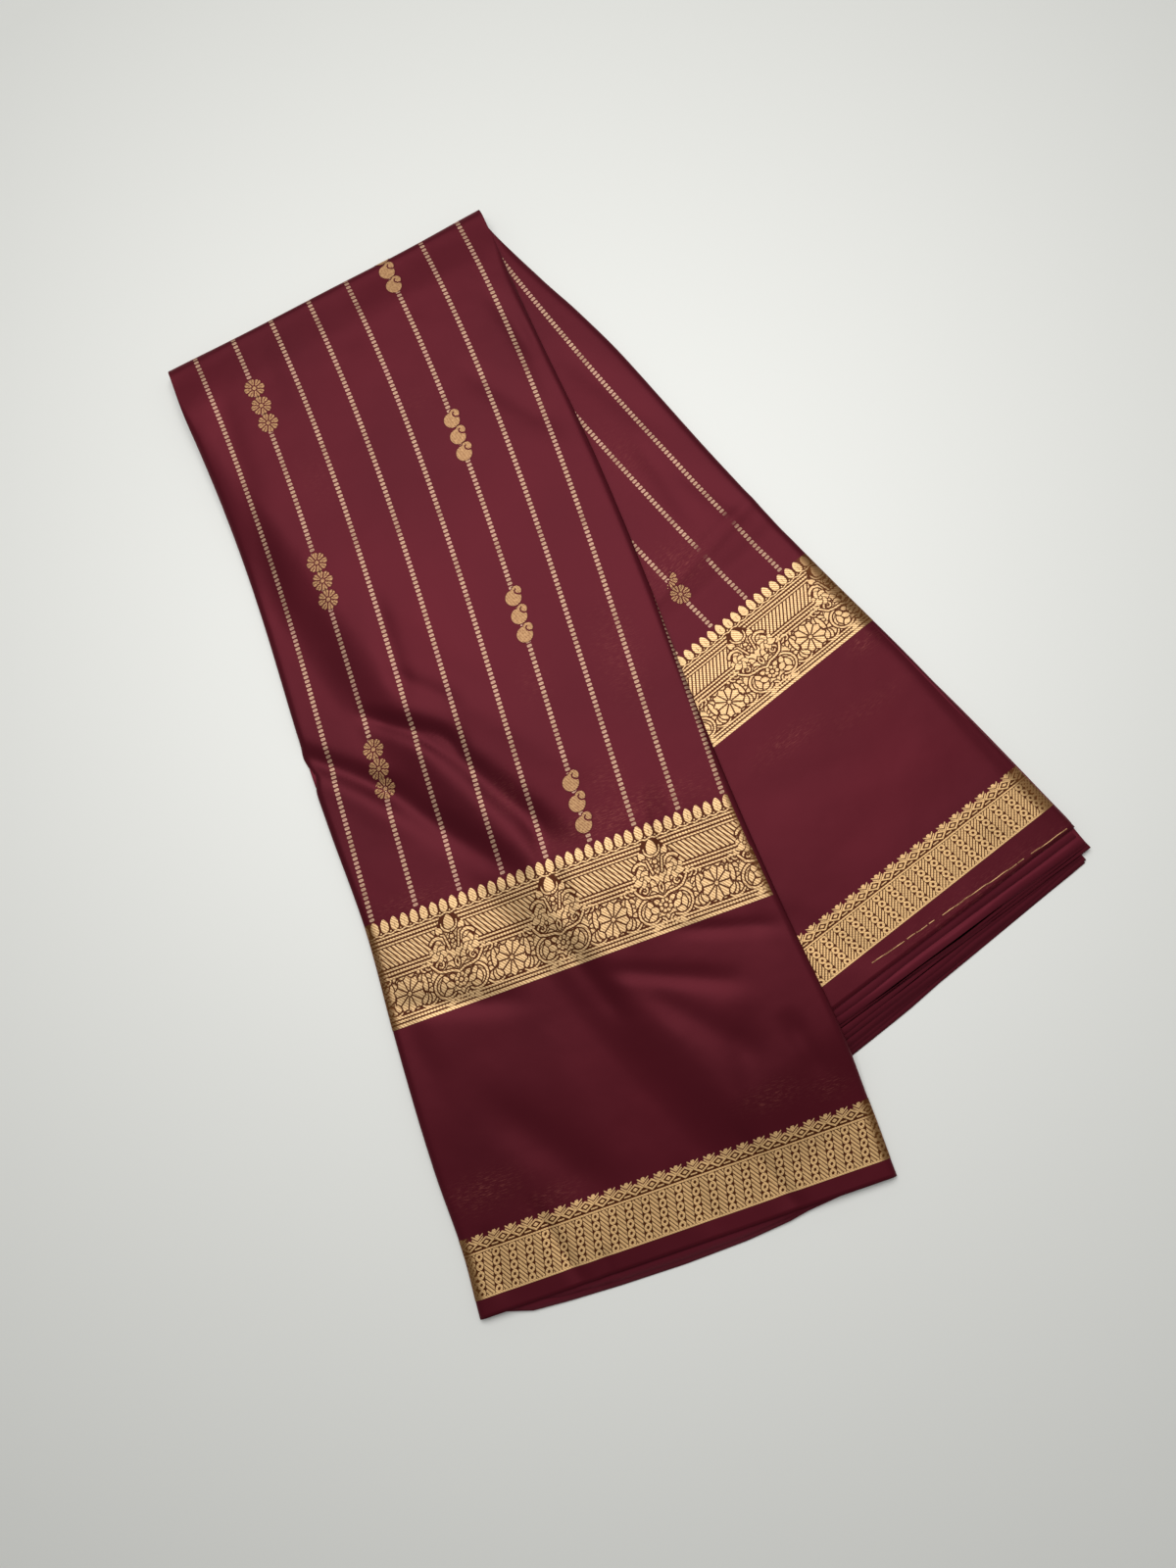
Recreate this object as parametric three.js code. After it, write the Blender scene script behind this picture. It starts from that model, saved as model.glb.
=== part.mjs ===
// A silk saree, folded selvage side to selvage side into a strip of many layers, folded once across
// and laid flat. The front leg lies on the rear leg, which swings out to the right under it.
// Millimetres, Z up. The origin is on the surface under the middle of the saree.
import * as THREE from 'three';

// Driving sizes
const wall = 1.0; // modelled thickness of a cover sheet, a few layers of cloth pressed together
const clearance = 0.3; // space left between neighbouring bodies
const legHeight = 6.0; // one leg, about thirteen pairs of layers pressed under their own weight
const hemHeight = 4.4; // the front leg lies flatter towards its loose hem
const hemTaper = 120; // length over which it flattens
const edgeRadius = 2.0; // bend of the top sheet where it rolls down at a side fold
const edgeLeg = 0.8; // straight drop of the rolled sheet below that bend
const riser = 0.2; // run of a nearly upright step between two layers
const bends = 4; // straight pieces of that bend
const flatSpread = 0.4; // distance between the roll's points where it has died out
const foldFade = 55; // the side rolls die out over this length below the cross fold
const tuckLength = 12; // what the cover shows of itself under the cross fold
const drapeWidth = 38; // width over which the front leg sinks to the table beside the rear leg
const drapeStart = 4; // it starts to sink this far outside the rear leg's edge
const hemDrape = 52; // and the same past the rear leg's hem
const centreLine = 117; // half the width of the cloth strip: u is measured from its left fold
const foldRadius = (2 * legHeight + clearance) / 2; // half the height of the cross fold
const frontRows = 30; // rows and columns of flat facets along and across each leg
const frontColumns = 15;
const frontReach = 590; // v at the far end of the front leg's flat part, in the middle
const rearRows = 22;
const rearColumns = 11;
const rearReach = 515;
const origin = [2.95, 0.32]; // middle of the outline seen from above, in the plan below

// The plan of each leg. u runs across from the left fold, v runs up from the hem. The heading is
// the angle of the length from straight down at v = 300, its change per 300 mm and its curl; the
// row is the angle of the weft from +X and its change. Edges: where the side folds lie at each v.
const frontPlan = {
  hemCentre: [36.8, -288.1],
  heading: [17.6, 0.8, 8.5],
  row: [20.5, 1.0],
  foldV: { left: 585.7, right: 612.1 },
  edges: [
    { v: 0, left: 13, right: 246.5 },
    { v: 35, left: 17.5, right: 249.5 },
    { v: 80, left: 18, right: 250.5 },
    { v: 155, left: 19.5, right: 244.5 },
    { v: 220, left: 20.3, right: 239.2 },
    { v: 285, left: 15.2, right: 235 },
    { v: 340, left: 11.6, right: 232.4 },
    { v: 420, left: 10, right: 228 },
    { v: 500, left: 8, right: 222.8 },
    { v: 560, left: 6.5, right: 222.6 },
    { v: 612, left: 8.6, right: 225.4 },
  ],
};
const rearPlan = {
  hemCentre: [161.1, -133.9],
  heading: [40.7, -7.1, -0.8],
  row: [37.0, 0],
  foldV: { left: 543.7, right: 512.1 },
  edges: [
    { v: 0, left: 10, right: 241.5 },
    { v: 60, left: 13, right: 246.5 },
    { v: 136, left: 20, right: 251.5 },
    { v: 215, left: 25, right: 252.5 },
    { v: 300, left: 30, right: 253.8 },
    { v: 388, left: 34, right: 254.5 },
    { v: 430, left: 33.5, right: 251.3 },
    { v: 467, left: 31, right: 246.2 },
    { v: 512, left: 30, right: 244.4 },
    { v: 545, left: 29.8, right: 244.4 },
  ],
};

// Soft troughs pressed into the front leg: from and to in u and v, depth and half width
const creases = [
  { u1: 12, v1: 362, u2: 88, v2: 296, depth: 1.6, width: 9 },
  { u1: 64, v1: 332, u2: 134, v2: 238, depth: 2.2, width: 10 },
  { u1: 150, v1: 168, u2: 192, v2: 58, depth: 1.5, width: 13 },
  { u1: 222, v1: 560, u2: 214, v2: 470, depth: 1.2, width: 8 },
  { u1: 70, v1: 190, u2: 60, v2: 120, depth: 0.9, width: 9 },
];

// Edges of the hidden layers that show past a hem: how far out they reach at the left and right
// side, and the height of the stack up to each one
const rearLeaves = [
  { left: -27.5, right: -18.6, height: 1.5 },
  { left: -18.5, right: -15.2, height: 2.9 },
  { left: -10.5, right: -12.8, height: 4.4 },
];
const frontLeaf = { from: 34, to: 208, reach: 8, height: 1.1 };

// Profile of a stack's side: how far in from the fold line it lies at each share of the height
const sideProfile = [
  { share: 1.0, inset: 4.0 },
  { share: 0.78, inset: 2.4 },
  { share: 0.5, inset: 2.0 },
  { share: 0.26, inset: 0.7 },
  { share: 0.17, inset: 1.7 },
  { share: 0.08, inset: 0.5 },
  { share: 0.0, inset: 1.2 },
];

const radians = THREE.MathUtils.degToRad;
const smooth = (x) => THREE.MathUtils.smoothstep(x, 0, 1);
const mix = THREE.MathUtils.lerp;

// A leg's plan, ready to use: place(u, v) is the point in plan, cloth(x, y) is its inverse, and
// edge(side, v) follows the table of side folds with a smooth curve.
function layOut(plan) {
  const step = 4;
  const lowest = -100;
  const count = 200;
  const line = [];
  let here = [0, 0];
  for (let i = 0; i < count; i += 1) {
    const v = lowest + i * step;
    const t = (v + step / 2 - 300) / 300;
    const angle = radians(plan.heading[0] + plan.heading[1] * t + plan.heading[2] * t * t);
    line.push(here);
    here = [here[0] - Math.sin(angle) * step, here[1] + Math.cos(angle) * step];
  }
  const start = line[-lowest / step];
  const shifted = line.map(([x, y]) => [
    x - start[0] + plan.hemCentre[0] - origin[0],
    y - start[1] + plan.hemCentre[1] - origin[1],
  ]);
  const rowAngle = (v) => radians(plan.row[0] + (plan.row[1] * (v - 300)) / 300);
  const centre = (v) => {
    const at = THREE.MathUtils.clamp((v - lowest) / step, 0, count - 1.001);
    const i = Math.floor(at);
    return [mix(shifted[i][0], shifted[i + 1][0], at - i), mix(shifted[i][1], shifted[i + 1][1], at - i)];
  };
  const place = (u, v) => {
    const [x, y] = centre(v);
    const angle = rowAngle(v);
    return [x + (u - centreLine) * Math.cos(angle), y + (u - centreLine) * Math.sin(angle)];
  };
  const cloth = (x, y) => {
    let low = lowest;
    let high = lowest + (count - 2) * step;
    for (let i = 0; i < 40; i += 1) {
      const v = (low + high) / 2;
      const [cx, cy] = centre(v);
      const angle = rowAngle(v);
      const above = -(x - cx) * Math.sin(angle) + (y - cy) * Math.cos(angle);
      if (above > 0) low = v;
      else high = v;
    }
    const v = (low + high) / 2;
    const [cx, cy] = centre(v);
    const angle = rowAngle(v);
    return [(x - cx) * Math.cos(angle) + (y - cy) * Math.sin(angle) + centreLine, v];
  };
  const edge = (side, v) => {
    const rows = plan.edges;
    const last = rows.length - 1;
    if (v <= rows[0].v) return rows[0][side];
    if (v >= rows[last].v) return rows[last][side];
    const i = rows.findIndex((row) => row.v > v) - 1;
    const slope = (k) => {
      const a = rows[Math.max(k - 1, 0)];
      const b = rows[Math.min(k + 1, last)];
      return (b[side] - a[side]) / (b.v - a.v);
    };
    const length = rows[i + 1].v - rows[i].v;
    const t = (v - rows[i].v) / length;
    const h1 = (1 + 2 * t) * (1 - t) ** 2 * rows[i][side] + t * t * (3 - 2 * t) * rows[i + 1][side];
    return h1 + (t * (1 - t) ** 2 * slope(i) + t * t * (t - 1) * slope(i + 1)) * length;
  };
  const foldLine = (u) => {
    const left = edge('left', plan.foldV.left);
    const right = edge('right', plan.foldV.right);
    return mix(plan.foldV.left, plan.foldV.right, (u - left) / (right - left));
  };
  return { place, cloth, edge, foldLine };
}

const front = layOut(frontPlan);
const rear = layOut(rearPlan);

// Height of what the front leg lies on: the rear leg where there is one, else the table
function bedHeight(x, y) {
  const [u, v] = rear.cloth(x, y);
  const beside = smooth((u - rear.edge('left', v) + drapeStart) / drapeWidth + 1);
  const beyond = smooth((v + drapeStart) / hemDrape + 1);
  return (legHeight + clearance) * beside * beyond;
}

// Depth of the soft troughs at a point of the front leg
function troughDepth(u, v) {
  let depth = 0;
  for (const crease of creases) {
    const du = crease.u2 - crease.u1;
    const dv = crease.v2 - crease.v1;
    const along = ((u - crease.u1) * du + (v - crease.v1) * dv) / (du * du + dv * dv);
    const across = ((u - crease.u1) * dv - (v - crease.v1) * du) / Math.hypot(du, dv);
    const fade = smooth(1.5 - Math.abs(along - 0.5) * 2);
    depth += crease.depth * fade * Math.exp(-((across / crease.width) ** 2));
  }
  return depth;
}

// Height of the front leg's upper face. It is level at the cross fold.
function frontTop(u, v) {
  const [x, y] = front.place(u, v);
  const height = mix(hemHeight, legHeight, smooth(v / hemTaper));
  const level = smooth((front.foldLine(u) - foldRadius - v) / foldFade);
  return bedHeight(x, y) * level + (legHeight + clearance) * (1 - level) + height - troughDepth(u, v) * level;
}

// One closed body from rows of points round its section. A sheet's ends are closed by quads between
// its two faces, a stack's by a fan from the middle.
function loft(name, rows, isSheet, material) {
  const around = rows[0].length;
  const points = rows.flat();
  const faces = [];
  for (let r = 0; r < rows.length - 1; r += 1) {
    for (let i = 0; i < around; i += 1) {
      const a = r * around + i;
      const b = r * around + ((i + 1) % around);
      if (isSheet && i >= around / 2) faces.push([a, b, a + around], [b, b + around, a + around]);
      else faces.push([a, b, b + around], [a, b + around, a + around]);
    }
  }
  for (const r of [0, rows.length - 1]) {
    const cap = [];
    const at = r * around;
    if (isSheet) {
      for (let i = 0; i < around / 2 - 1; i += 1) {
        const across = around - 1 - i;
        cap.push([at + i, at + across, at + across - 1], [at + i, at + across - 1, at + i + 1]);
      }
    } else {
      const middle = [0, 1, 2].map((axis) => rows[r].reduce((sum, point) => sum + point[axis], 0) / around);
      points.push(middle);
      for (let i = 0; i < around; i += 1) cap.push([points.length - 1, at + ((i + 1) % around), at + i]);
    }
    faces.push(...(r === 0 ? cap : cap.map(([a, b, c]) => [a, c, b])));
  }
  const volume = faces.reduce((sum, [a, b, c]) => {
    const [p, q, s] = [points[a], points[b], points[c]].map((point) => new THREE.Vector3(...point));
    return sum + p.dot(q.cross(s));
  }, 0);
  const outward = volume > 0 ? faces : faces.map(([a, b, c]) => [a, c, b]);
  const geometry = new THREE.BufferGeometry();
  geometry.setAttribute('position', new THREE.Float32BufferAttribute(points.flat(), 3));
  geometry.setIndex(outward.flat());
  const mesh = new THREE.Mesh(geometry, material);
  mesh.name = name;
  return mesh;
}

// Where a cover's flat part lies between its two side rolls, as evenly spaced values of u
function flatColumns(left, right, roll, columns) {
  const inset = wall / 2 + edgeRadius * Math.sin((Math.PI / 2) * roll) + flatSpread * (1 - roll) * bends;
  return Array.from({ length: columns + 1 }, (_, i) => mix(left + inset, right - inset, i / columns));
}

// A cover sheet's section: its middle line across the leg as pairs of u and depth below the top,
// rolled down at both sides by the share given, then its two faces half a wall either way
function coverSection(left, right, roll, columns) {
  const turn = (Math.PI / 2) * roll;
  const reach = edgeRadius * Math.sin(turn);
  const low = edgeRadius * (1 - Math.cos(turn));
  const leg = edgeLeg * roll;
  const spread = flatSpread * (1 - roll);
  const side = (sign, from) => {
    const points = [[from + sign * (wall / 2 - leg * Math.cos(turn) - spread), low + leg * Math.sin(turn)]];
    for (let i = bends; i > 0; i -= 1) {
      const angle = (turn * i) / bends;
      const u = from + sign * (wall / 2 + reach - edgeRadius * Math.sin(angle) + spread * (bends - i));
      points.push([u, edgeRadius * (1 - Math.cos(angle))]);
    }
    return points;
  };
  const flat = flatColumns(left, right, roll, columns).map((u) => [u, 0]);
  const line = [...side(1, left), ...flat, ...side(-1, right).reverse()];
  const face = (way) =>
    line.map(([u, depth], i) => {
      const a = line[Math.max(i - 1, 0)];
      const b = line[Math.min(i + 1, line.length - 1)];
      const shift = (way * wall) / 2 / Math.hypot(b[0] - a[0], b[1] - a[1]);
      return [u + (b[1] - a[1]) * shift, depth + wall / 2 - (b[0] - a[0]) * shift];
    });
  return [...face(1), ...face(-1).reverse()];
}

// Share of the side roll at v: none at the cross fold
const rollShare = (leg, u, v) => smooth((leg.foldLine(u) - foldRadius - 6 - v) / foldFade);

// The front leg's top sheet, from its hem over the cross fold and a little way back under it
function makeFrontCover(material) {
  const noseSteps = 8;
  const rows = [];
  let section;
  for (let r = 0; r <= frontRows; r += 1) {
    const share = r / frontRows;
    const level = share * frontReach;
    const roll = rollShare(front, centreLine, level);
    section = coverSection(front.edge('left', level), front.edge('right', level), roll, frontColumns);
    rows.push(
      section.map(([u, depth]) => {
        const v = share * (front.foldLine(u) - foldRadius);
        return [...front.place(u, v), frontTop(u, v) - depth];
      }),
    );
  }
  for (let i = 1; i <= noseSteps; i += 1) {
    const turn = (Math.PI * i) / noseSteps;
    rows.push(
      section.map(([u, depth]) => {
        const radius = foldRadius - depth;
        const v = front.foldLine(u) - foldRadius + radius * Math.sin(turn);
        return [...front.place(u, v), foldRadius + radius * Math.cos(turn)];
      }),
    );
  }
  rows.push(
    section.map(([u, depth]) => [
      ...front.place(u, front.foldLine(u) - foldRadius - tuckLength),
      Math.max(depth, 0),
    ]),
  );
  return loft('front_cover', rows, true, material);
}

// The rear leg's top sheet, from its hem to the inside of the cross fold
function makeRearCover(material) {
  const rows = [];
  for (let r = 0; r <= rearRows; r += 1) {
    const share = r / rearRows;
    const level = share * rearReach;
    const roll = rollShare(rear, centreLine, level);
    const section = coverSection(rear.edge('left', level), rear.edge('right', level), roll, rearColumns);
    rows.push(
      section.map(([u, depth]) => {
        const v = share * (rear.foldLine(u) - foldRadius - 1);
        return [...rear.place(u, v), legHeight - depth];
      }),
    );
  }
  return loft('rear_cover', rows, true, material);
}

// A stack's section at one row: along its top under the cover's columns, down its layered right
// side, back along its underside and up the left side. Each point is u, then its share of the height.
function stackSection(left, right, roll, columns) {
  const inner = flatColumns(left, right, roll, columns).slice(1, -1);
  const top = sideProfile[0].inset;
  const foot = sideProfile[sideProfile.length - 1].inset;
  const sides = sideProfile.slice(1, -1);
  return [
    ...[left + top, ...inner, right - top].map((u) => [u, 1]),
    ...sides.map((row) => [right - row.inset, row.share]),
    ...[right - foot, ...inner.toReversed(), left + foot].map((u) => [u, 0]),
    ...sides.toReversed().map((row) => [left + row.inset, row.share]),
  ];
}

// A stack of hidden layers as one body. Each row gives v, the underside and the top as functions
// of u, and the rows run from the hem to the cross fold.
function makeStack(name, leg, rows, columns, material) {
  const sections = rows.map((row) => {
    const roll = rollShare(leg, centreLine, row.level);
    return stackSection(leg.edge('left', row.level), leg.edge('right', row.level), roll, columns);
  });
  const points = rows.map((row, r) =>
    sections[r].map(([u, share]) => {
      const v = row.v(u);
      return [...leg.place(u, v), mix(row.bottom(u, v), row.top(u, v), share)];
    }),
  );
  return loft(name, points, false, material);
}

// The front leg's hidden layers, with one that shows past the hem and a rounded end in the fold
function makeFrontLayers(material) {
  const inset = 2;
  const cover = wall + clearance;
  const bed = (u, v) => {
    const [x, y] = front.place(u, v);
    const level = smooth((front.foldLine(u) - foldRadius - v) / foldFade);
    return mix(legHeight + clearance, bedHeight(x, y), level);
  };
  const leafEdge = (u) => {
    const share = (u - frontLeaf.from) / (frontLeaf.to - frontLeaf.from);
    const arch = share > 0 && share < 1 ? Math.sin(Math.PI * share) ** 0.5 : 0;
    return inset - riser - (frontLeaf.reach + inset) * arch;
  };
  const rows = [
    { level: 0, v: leafEdge, bottom: bed, top: (u, v) => bed(u, v) + frontLeaf.height },
    { level: 0, v: () => inset, bottom: bed, top: (u, v) => bed(u, v) + frontLeaf.height },
    { level: 0, v: () => inset + riser, bottom: bed, top: (u, v) => frontTop(u, v) - cover },
  ];
  for (let r = 1; r <= frontRows; r += 1) {
    const share = r / frontRows;
    const v = (u) => share * (front.foldLine(u) - foldRadius);
    rows.push({ level: share * frontReach, v, bottom: bed, top: (u, w) => frontTop(u, w) - cover });
  }
  const rounding = [
    { past: 0.5, bottom: wall + 2 * clearance, top: 2 * foldRadius - cover },
    { past: 3.0, bottom: 2.5, top: 9.8 },
    { past: 4.4, bottom: 4.3, top: 8.0 },
  ];
  for (const { past, bottom, top } of rounding) {
    const v = (u) => front.foldLine(u) - foldRadius + past;
    rows.push({ level: frontReach, v, bottom: () => bottom, top: () => top });
  }
  return makeStack('front_layers', front, rows, frontColumns, material);
}

// The rear leg's hidden layers: flat on the table, with the edges of three groups past the hem
function makeRearLayers(material) {
  const underCover = legHeight - wall - clearance;
  const end = foldRadius + 0.8;
  const tuckEdge = foldRadius + tuckLength + 1.5;
  const span = (leaf) => (u) => {
    const left = rear.edge('left', 0);
    const right = rear.edge('right', 0);
    return mix(leaf.left, leaf.right, (u - left) / (right - left));
  };
  const rows = [];
  rearLeaves.forEach((leaf, i) => {
    const edge = span(leaf);
    const before = i > 0 ? rearLeaves[i - 1].height : 0;
    const level = leaf.left;
    if (i > 0) rows.push({ level, v: (u) => edge(u) - riser, bottom: () => 0, top: () => before });
    rows.push({ level, v: edge, bottom: () => 0, top: () => leaf.height });
  });
  for (let r = 0; r <= rearRows; r += 1) {
    const share = r / rearRows;
    const v = (u) => mix(2, rear.foldLine(u) - tuckEdge, share);
    rows.push({ level: share * rearReach, v, bottom: () => 0, top: () => underCover });
  }
  for (const past of [riser, tuckEdge - end]) {
    const v = (u) => rear.foldLine(u) - tuckEdge + past;
    rows.push({ level: rearReach, v, bottom: () => wall + clearance, top: () => underCover });
  }
  return makeStack('rear_layers', rear, rows, rearColumns, material);
}

// Maroon satin on the covers, the same cloth a little darker between its layers
const coverSatin = new THREE.MeshStandardMaterial({ color: 0x5a1c26, roughness: 0.45, metalness: 0 });
const layerSatin = new THREE.MeshStandardMaterial({ color: 0x45131d, roughness: 0.55, metalness: 0 });

const saree = new THREE.Group();
saree.add(makeFrontCover(coverSatin));
saree.add(makeFrontLayers(layerSatin));
saree.add(makeRearCover(coverSatin));
saree.add(makeRearLayers(layerSatin));

export default saree;
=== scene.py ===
# A maroon silk saree with woven gold borders, folded into a strip, folded once across and laid flat
import functools

import bmesh
import bpy
import numpy as np
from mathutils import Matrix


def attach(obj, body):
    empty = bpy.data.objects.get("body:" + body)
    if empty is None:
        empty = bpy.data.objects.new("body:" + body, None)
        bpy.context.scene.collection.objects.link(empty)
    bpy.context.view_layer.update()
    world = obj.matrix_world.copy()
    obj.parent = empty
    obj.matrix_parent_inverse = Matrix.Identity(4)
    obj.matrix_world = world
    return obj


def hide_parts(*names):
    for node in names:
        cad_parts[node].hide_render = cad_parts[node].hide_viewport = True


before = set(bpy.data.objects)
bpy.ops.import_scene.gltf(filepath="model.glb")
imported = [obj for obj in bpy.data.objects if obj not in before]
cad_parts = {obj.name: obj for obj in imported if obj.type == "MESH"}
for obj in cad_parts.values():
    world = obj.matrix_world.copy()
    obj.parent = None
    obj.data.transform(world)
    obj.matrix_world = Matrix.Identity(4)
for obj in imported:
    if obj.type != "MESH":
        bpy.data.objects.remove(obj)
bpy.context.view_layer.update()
print("frame loaded")

mm = 0.001  # the cloth is worked out in millimetres

# Where the photograph was taken from, in metres, and which way the camera looked
cameraView = {
    "place": (0.03413, -0.1477, 0.6596),
    "ahead": (-0.06616, 0.16796, -0.98357),
    "right": (0.99781, 0.01114, -0.06522),
    "lens": 27.05,
    "sensor": 36.0,
}


def addObject(name, data):
    piece = bpy.data.objects.new(name, data)
    bpy.context.scene.collection.objects.link(piece)
    return piece


# Puts a camera or a lamp at a place, with its right side and the way it looks given
def aim(thing, place, right, ahead):
    turned = np.eye(4)
    turned[:3, 0] = right
    turned[:3, 1] = np.cross(right, ahead)
    turned[:3, 2] = -ahead
    turned[:3, 3] = place
    thing.matrix_world = turned.T.tolist()


def placeCamera(view):
    lensData = bpy.data.cameras.new("photoCamera")
    lensData.lens = view["lens"]
    lensData.sensor_width = view["sensor"]
    lensData.clip_start = 0.01
    camera = addObject("photoCamera", lensData)
    aim(camera, view["place"], np.array(view["right"]), np.array(view["ahead"]))
    bpy.context.scene.camera = camera


placeCamera(cameraView)
print("camera placed")


# Materials


# Turns an sRGB hex colour into Blender's linear one
def linear(hexColour, alpha=1.0):
    srgb = np.array([int(hexColour[i : i + 2], 16) for i in (1, 3, 5)]) / 255
    flat = np.where(srgb <= 0.04045, srgb / 12.92, ((srgb + 0.055) / 1.055) ** 2.4)
    return (*flat.tolist(), alpha)


# Adds a node, sets its properties, fills its inputs (a socket is linked, a value is set) and hands
# back the output asked for
def addNode(tree, kind, inputs=None, give=0, **settings):
    node = tree.nodes.new("ShaderNode" + kind)
    for name, value in settings.items():
        setattr(node, name, value)
    for name, value in (inputs or {}).items():
        if isinstance(value, bpy.types.NodeSocket):
            tree.links.new(value, node.inputs[name])
        else:
            node.inputs[name].default_value = value
    return node.outputs[give] if len(node.outputs) else node


def newMaterial(name):
    material = bpy.data.materials.new(name)
    material.use_nodes = True
    material.node_tree.nodes.clear()
    return material, material.node_tree


# Shapes shared by both legs

legShape = {
    "legHeight": 6.0,  # one pressed leg
    "clearance": 0.3,
    "hemHeight": 4.4,  # the front leg lies flatter at its loose hem
    "hemTaper": 120,
    "drapeWidth": 38,  # the front leg sinks to the table over this width beside the rear leg
    "drapeStart": 4,
    "hemDrape": 52,
    "centreLine": 117,  # half the width of the strip: u is measured from its left fold
    "foldRadius": 6.15,
    "foldFade": 55,
    "origin": (2.95, 0.32),
    "measuredAt": 300,  # v of the plan's angles, and the length over which they change
    "tableEnds": (-120.0, 700.0),  # v at both ends of the centre line's table
}

# The plan of each leg. u runs across from the left fold, v up from the hem. The heading is the angle
# of the length from straight down at v = 300, its change per 300 mm and its curl; the row is the
# angle of the weft from +X. Edges: v, then where the left and right side folds lie.
frontPlan = {
    "hemCentre": (36.8, -288.1),
    "heading": (17.6, 0.8, 8.5),
    "row": (20.5, 1.0),
    "foldLeft": 585.7,
    "foldRight": 612.1,
    "reach": 590,
    "edges": (
        (0, 13, 246.5),
        (35, 17.5, 249.5),
        (80, 18, 250.5),
        (155, 19.5, 244.5),
        (220, 20.3, 239.2),
        (285, 15.2, 235),
        (340, 11.6, 232.4),
        (420, 10, 228),
        (500, 8, 222.8),
        (560, 6.5, 222.6),
        (612, 8.6, 225.4),
    ),
}
rearPlan = {
    "hemCentre": (161.1, -133.9),
    "heading": (40.7, -7.1, -0.8),
    "row": (37.0, 0.0),
    "foldLeft": 543.7,
    "foldRight": 512.1,
    "reach": 515,
    "edges": (
        (0, 10, 241.5),
        (60, 13, 246.5),
        (136, 20, 251.5),
        (215, 25, 252.5),
        (300, 30, 253.8),
        (388, 34, 254.5),
        (430, 33.5, 251.3),
        (467, 31, 246.2),
        (512, 30, 244.4),
        (545, 29.8, 244.4),
    ),
}


def smooth(x):
    x = np.clip(x, 0, 1)
    return x * x * (3 - 2 * x)


def mix(a, b, t):
    return a + (b - a) * t


# The plan's centre line as a table: points 1 mm apart, each turned by the heading at its v
def layLeg(plan):
    v = np.arange(*legShape["tableEnds"])
    t = (v + 0.5 - legShape["measuredAt"]) / legShape["measuredAt"]
    heading = np.radians(plan["heading"][0] + plan["heading"][1] * t + plan["heading"][2] * t * t)
    x = np.concatenate([[0], np.cumsum(-np.sin(heading))[:-1]])
    y = np.concatenate([[0], np.cumsum(np.cos(heading))[:-1]])
    x += plan["hemCentre"][0] - legShape["origin"][0] - np.interp(0, v, x)
    y += plan["hemCentre"][1] - legShape["origin"][1] - np.interp(0, v, y)
    edges = np.array(plan["edges"], float)
    return {**plan, "v": v, "x": x, "y": y, "edgeTable": edges}


front = layLeg(frontPlan)
rear = layLeg(rearPlan)


def rowAngle(leg, v):
    middle = legShape["measuredAt"]
    return np.radians(leg["row"][0] + leg["row"][1] * (v - middle) / middle)


# Plan point of cloth point (u, v): the centre line at v, then u minus the centre along the weft
def place(leg, u, v):
    angle = rowAngle(leg, v)
    across = u - legShape["centreLine"]
    x = np.interp(v, leg["v"], leg["x"]) + across * np.cos(angle)
    y = np.interp(v, leg["v"], leg["y"]) + across * np.sin(angle)
    return x, y


# The other way round: v by halving the range until the weft through it meets the point, then u
def clothPoint(leg, x, y):
    low = np.full(np.shape(x), legShape["tableEnds"][0] + 1)
    high = np.full(np.shape(x), legShape["tableEnds"][1] - 1)
    for _ in range(22):
        v = (low + high) / 2
        angle = rowAngle(leg, v)
        dx = x - np.interp(v, leg["v"], leg["x"])
        dy = y - np.interp(v, leg["v"], leg["y"])
        above = dy * np.cos(angle) - dx * np.sin(angle) > 0
        low = np.where(above, v, low)
        high = np.where(above, high, v)
    return dx * np.cos(angle) + dy * np.sin(angle) + legShape["centreLine"], v


# Side folds: a cubic through the table's rows, with slopes from the rows on either side
def edgeAt(leg, side, v):
    rows = leg["edgeTable"]
    at = rows[:, 0]
    value = rows[:, 1 if side == "left" else 2]
    last = len(at) - 1
    before = np.maximum(np.arange(last + 1) - 1, 0)
    after = np.minimum(np.arange(last + 1) + 1, last)
    slope = (value[after] - value[before]) / (at[after] - at[before])
    held = np.clip(v, at[0], at[-1])
    i = np.clip(np.searchsorted(at, held, side="right") - 1, 0, last - 1)
    length = at[i + 1] - at[i]
    t = (held - at[i]) / length
    level = (1 + 2 * t) * (1 - t) ** 2 * value[i] + t * t * (3 - 2 * t) * value[i + 1]
    return level + (t * (1 - t) ** 2 * slope[i] + t * t * (t - 1) * slope[i + 1]) * length


def foldLine(leg, u):
    left = edgeAt(leg, "left", leg["foldLeft"])
    right = edgeAt(leg, "right", leg["foldRight"])
    return mix(leg["foldLeft"], leg["foldRight"], (u - left) / (right - left))


# Where the cloth starts to turn over the cross fold
def turnStart(leg, u):
    return foldLine(leg, u) - legShape["foldRadius"]


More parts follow.
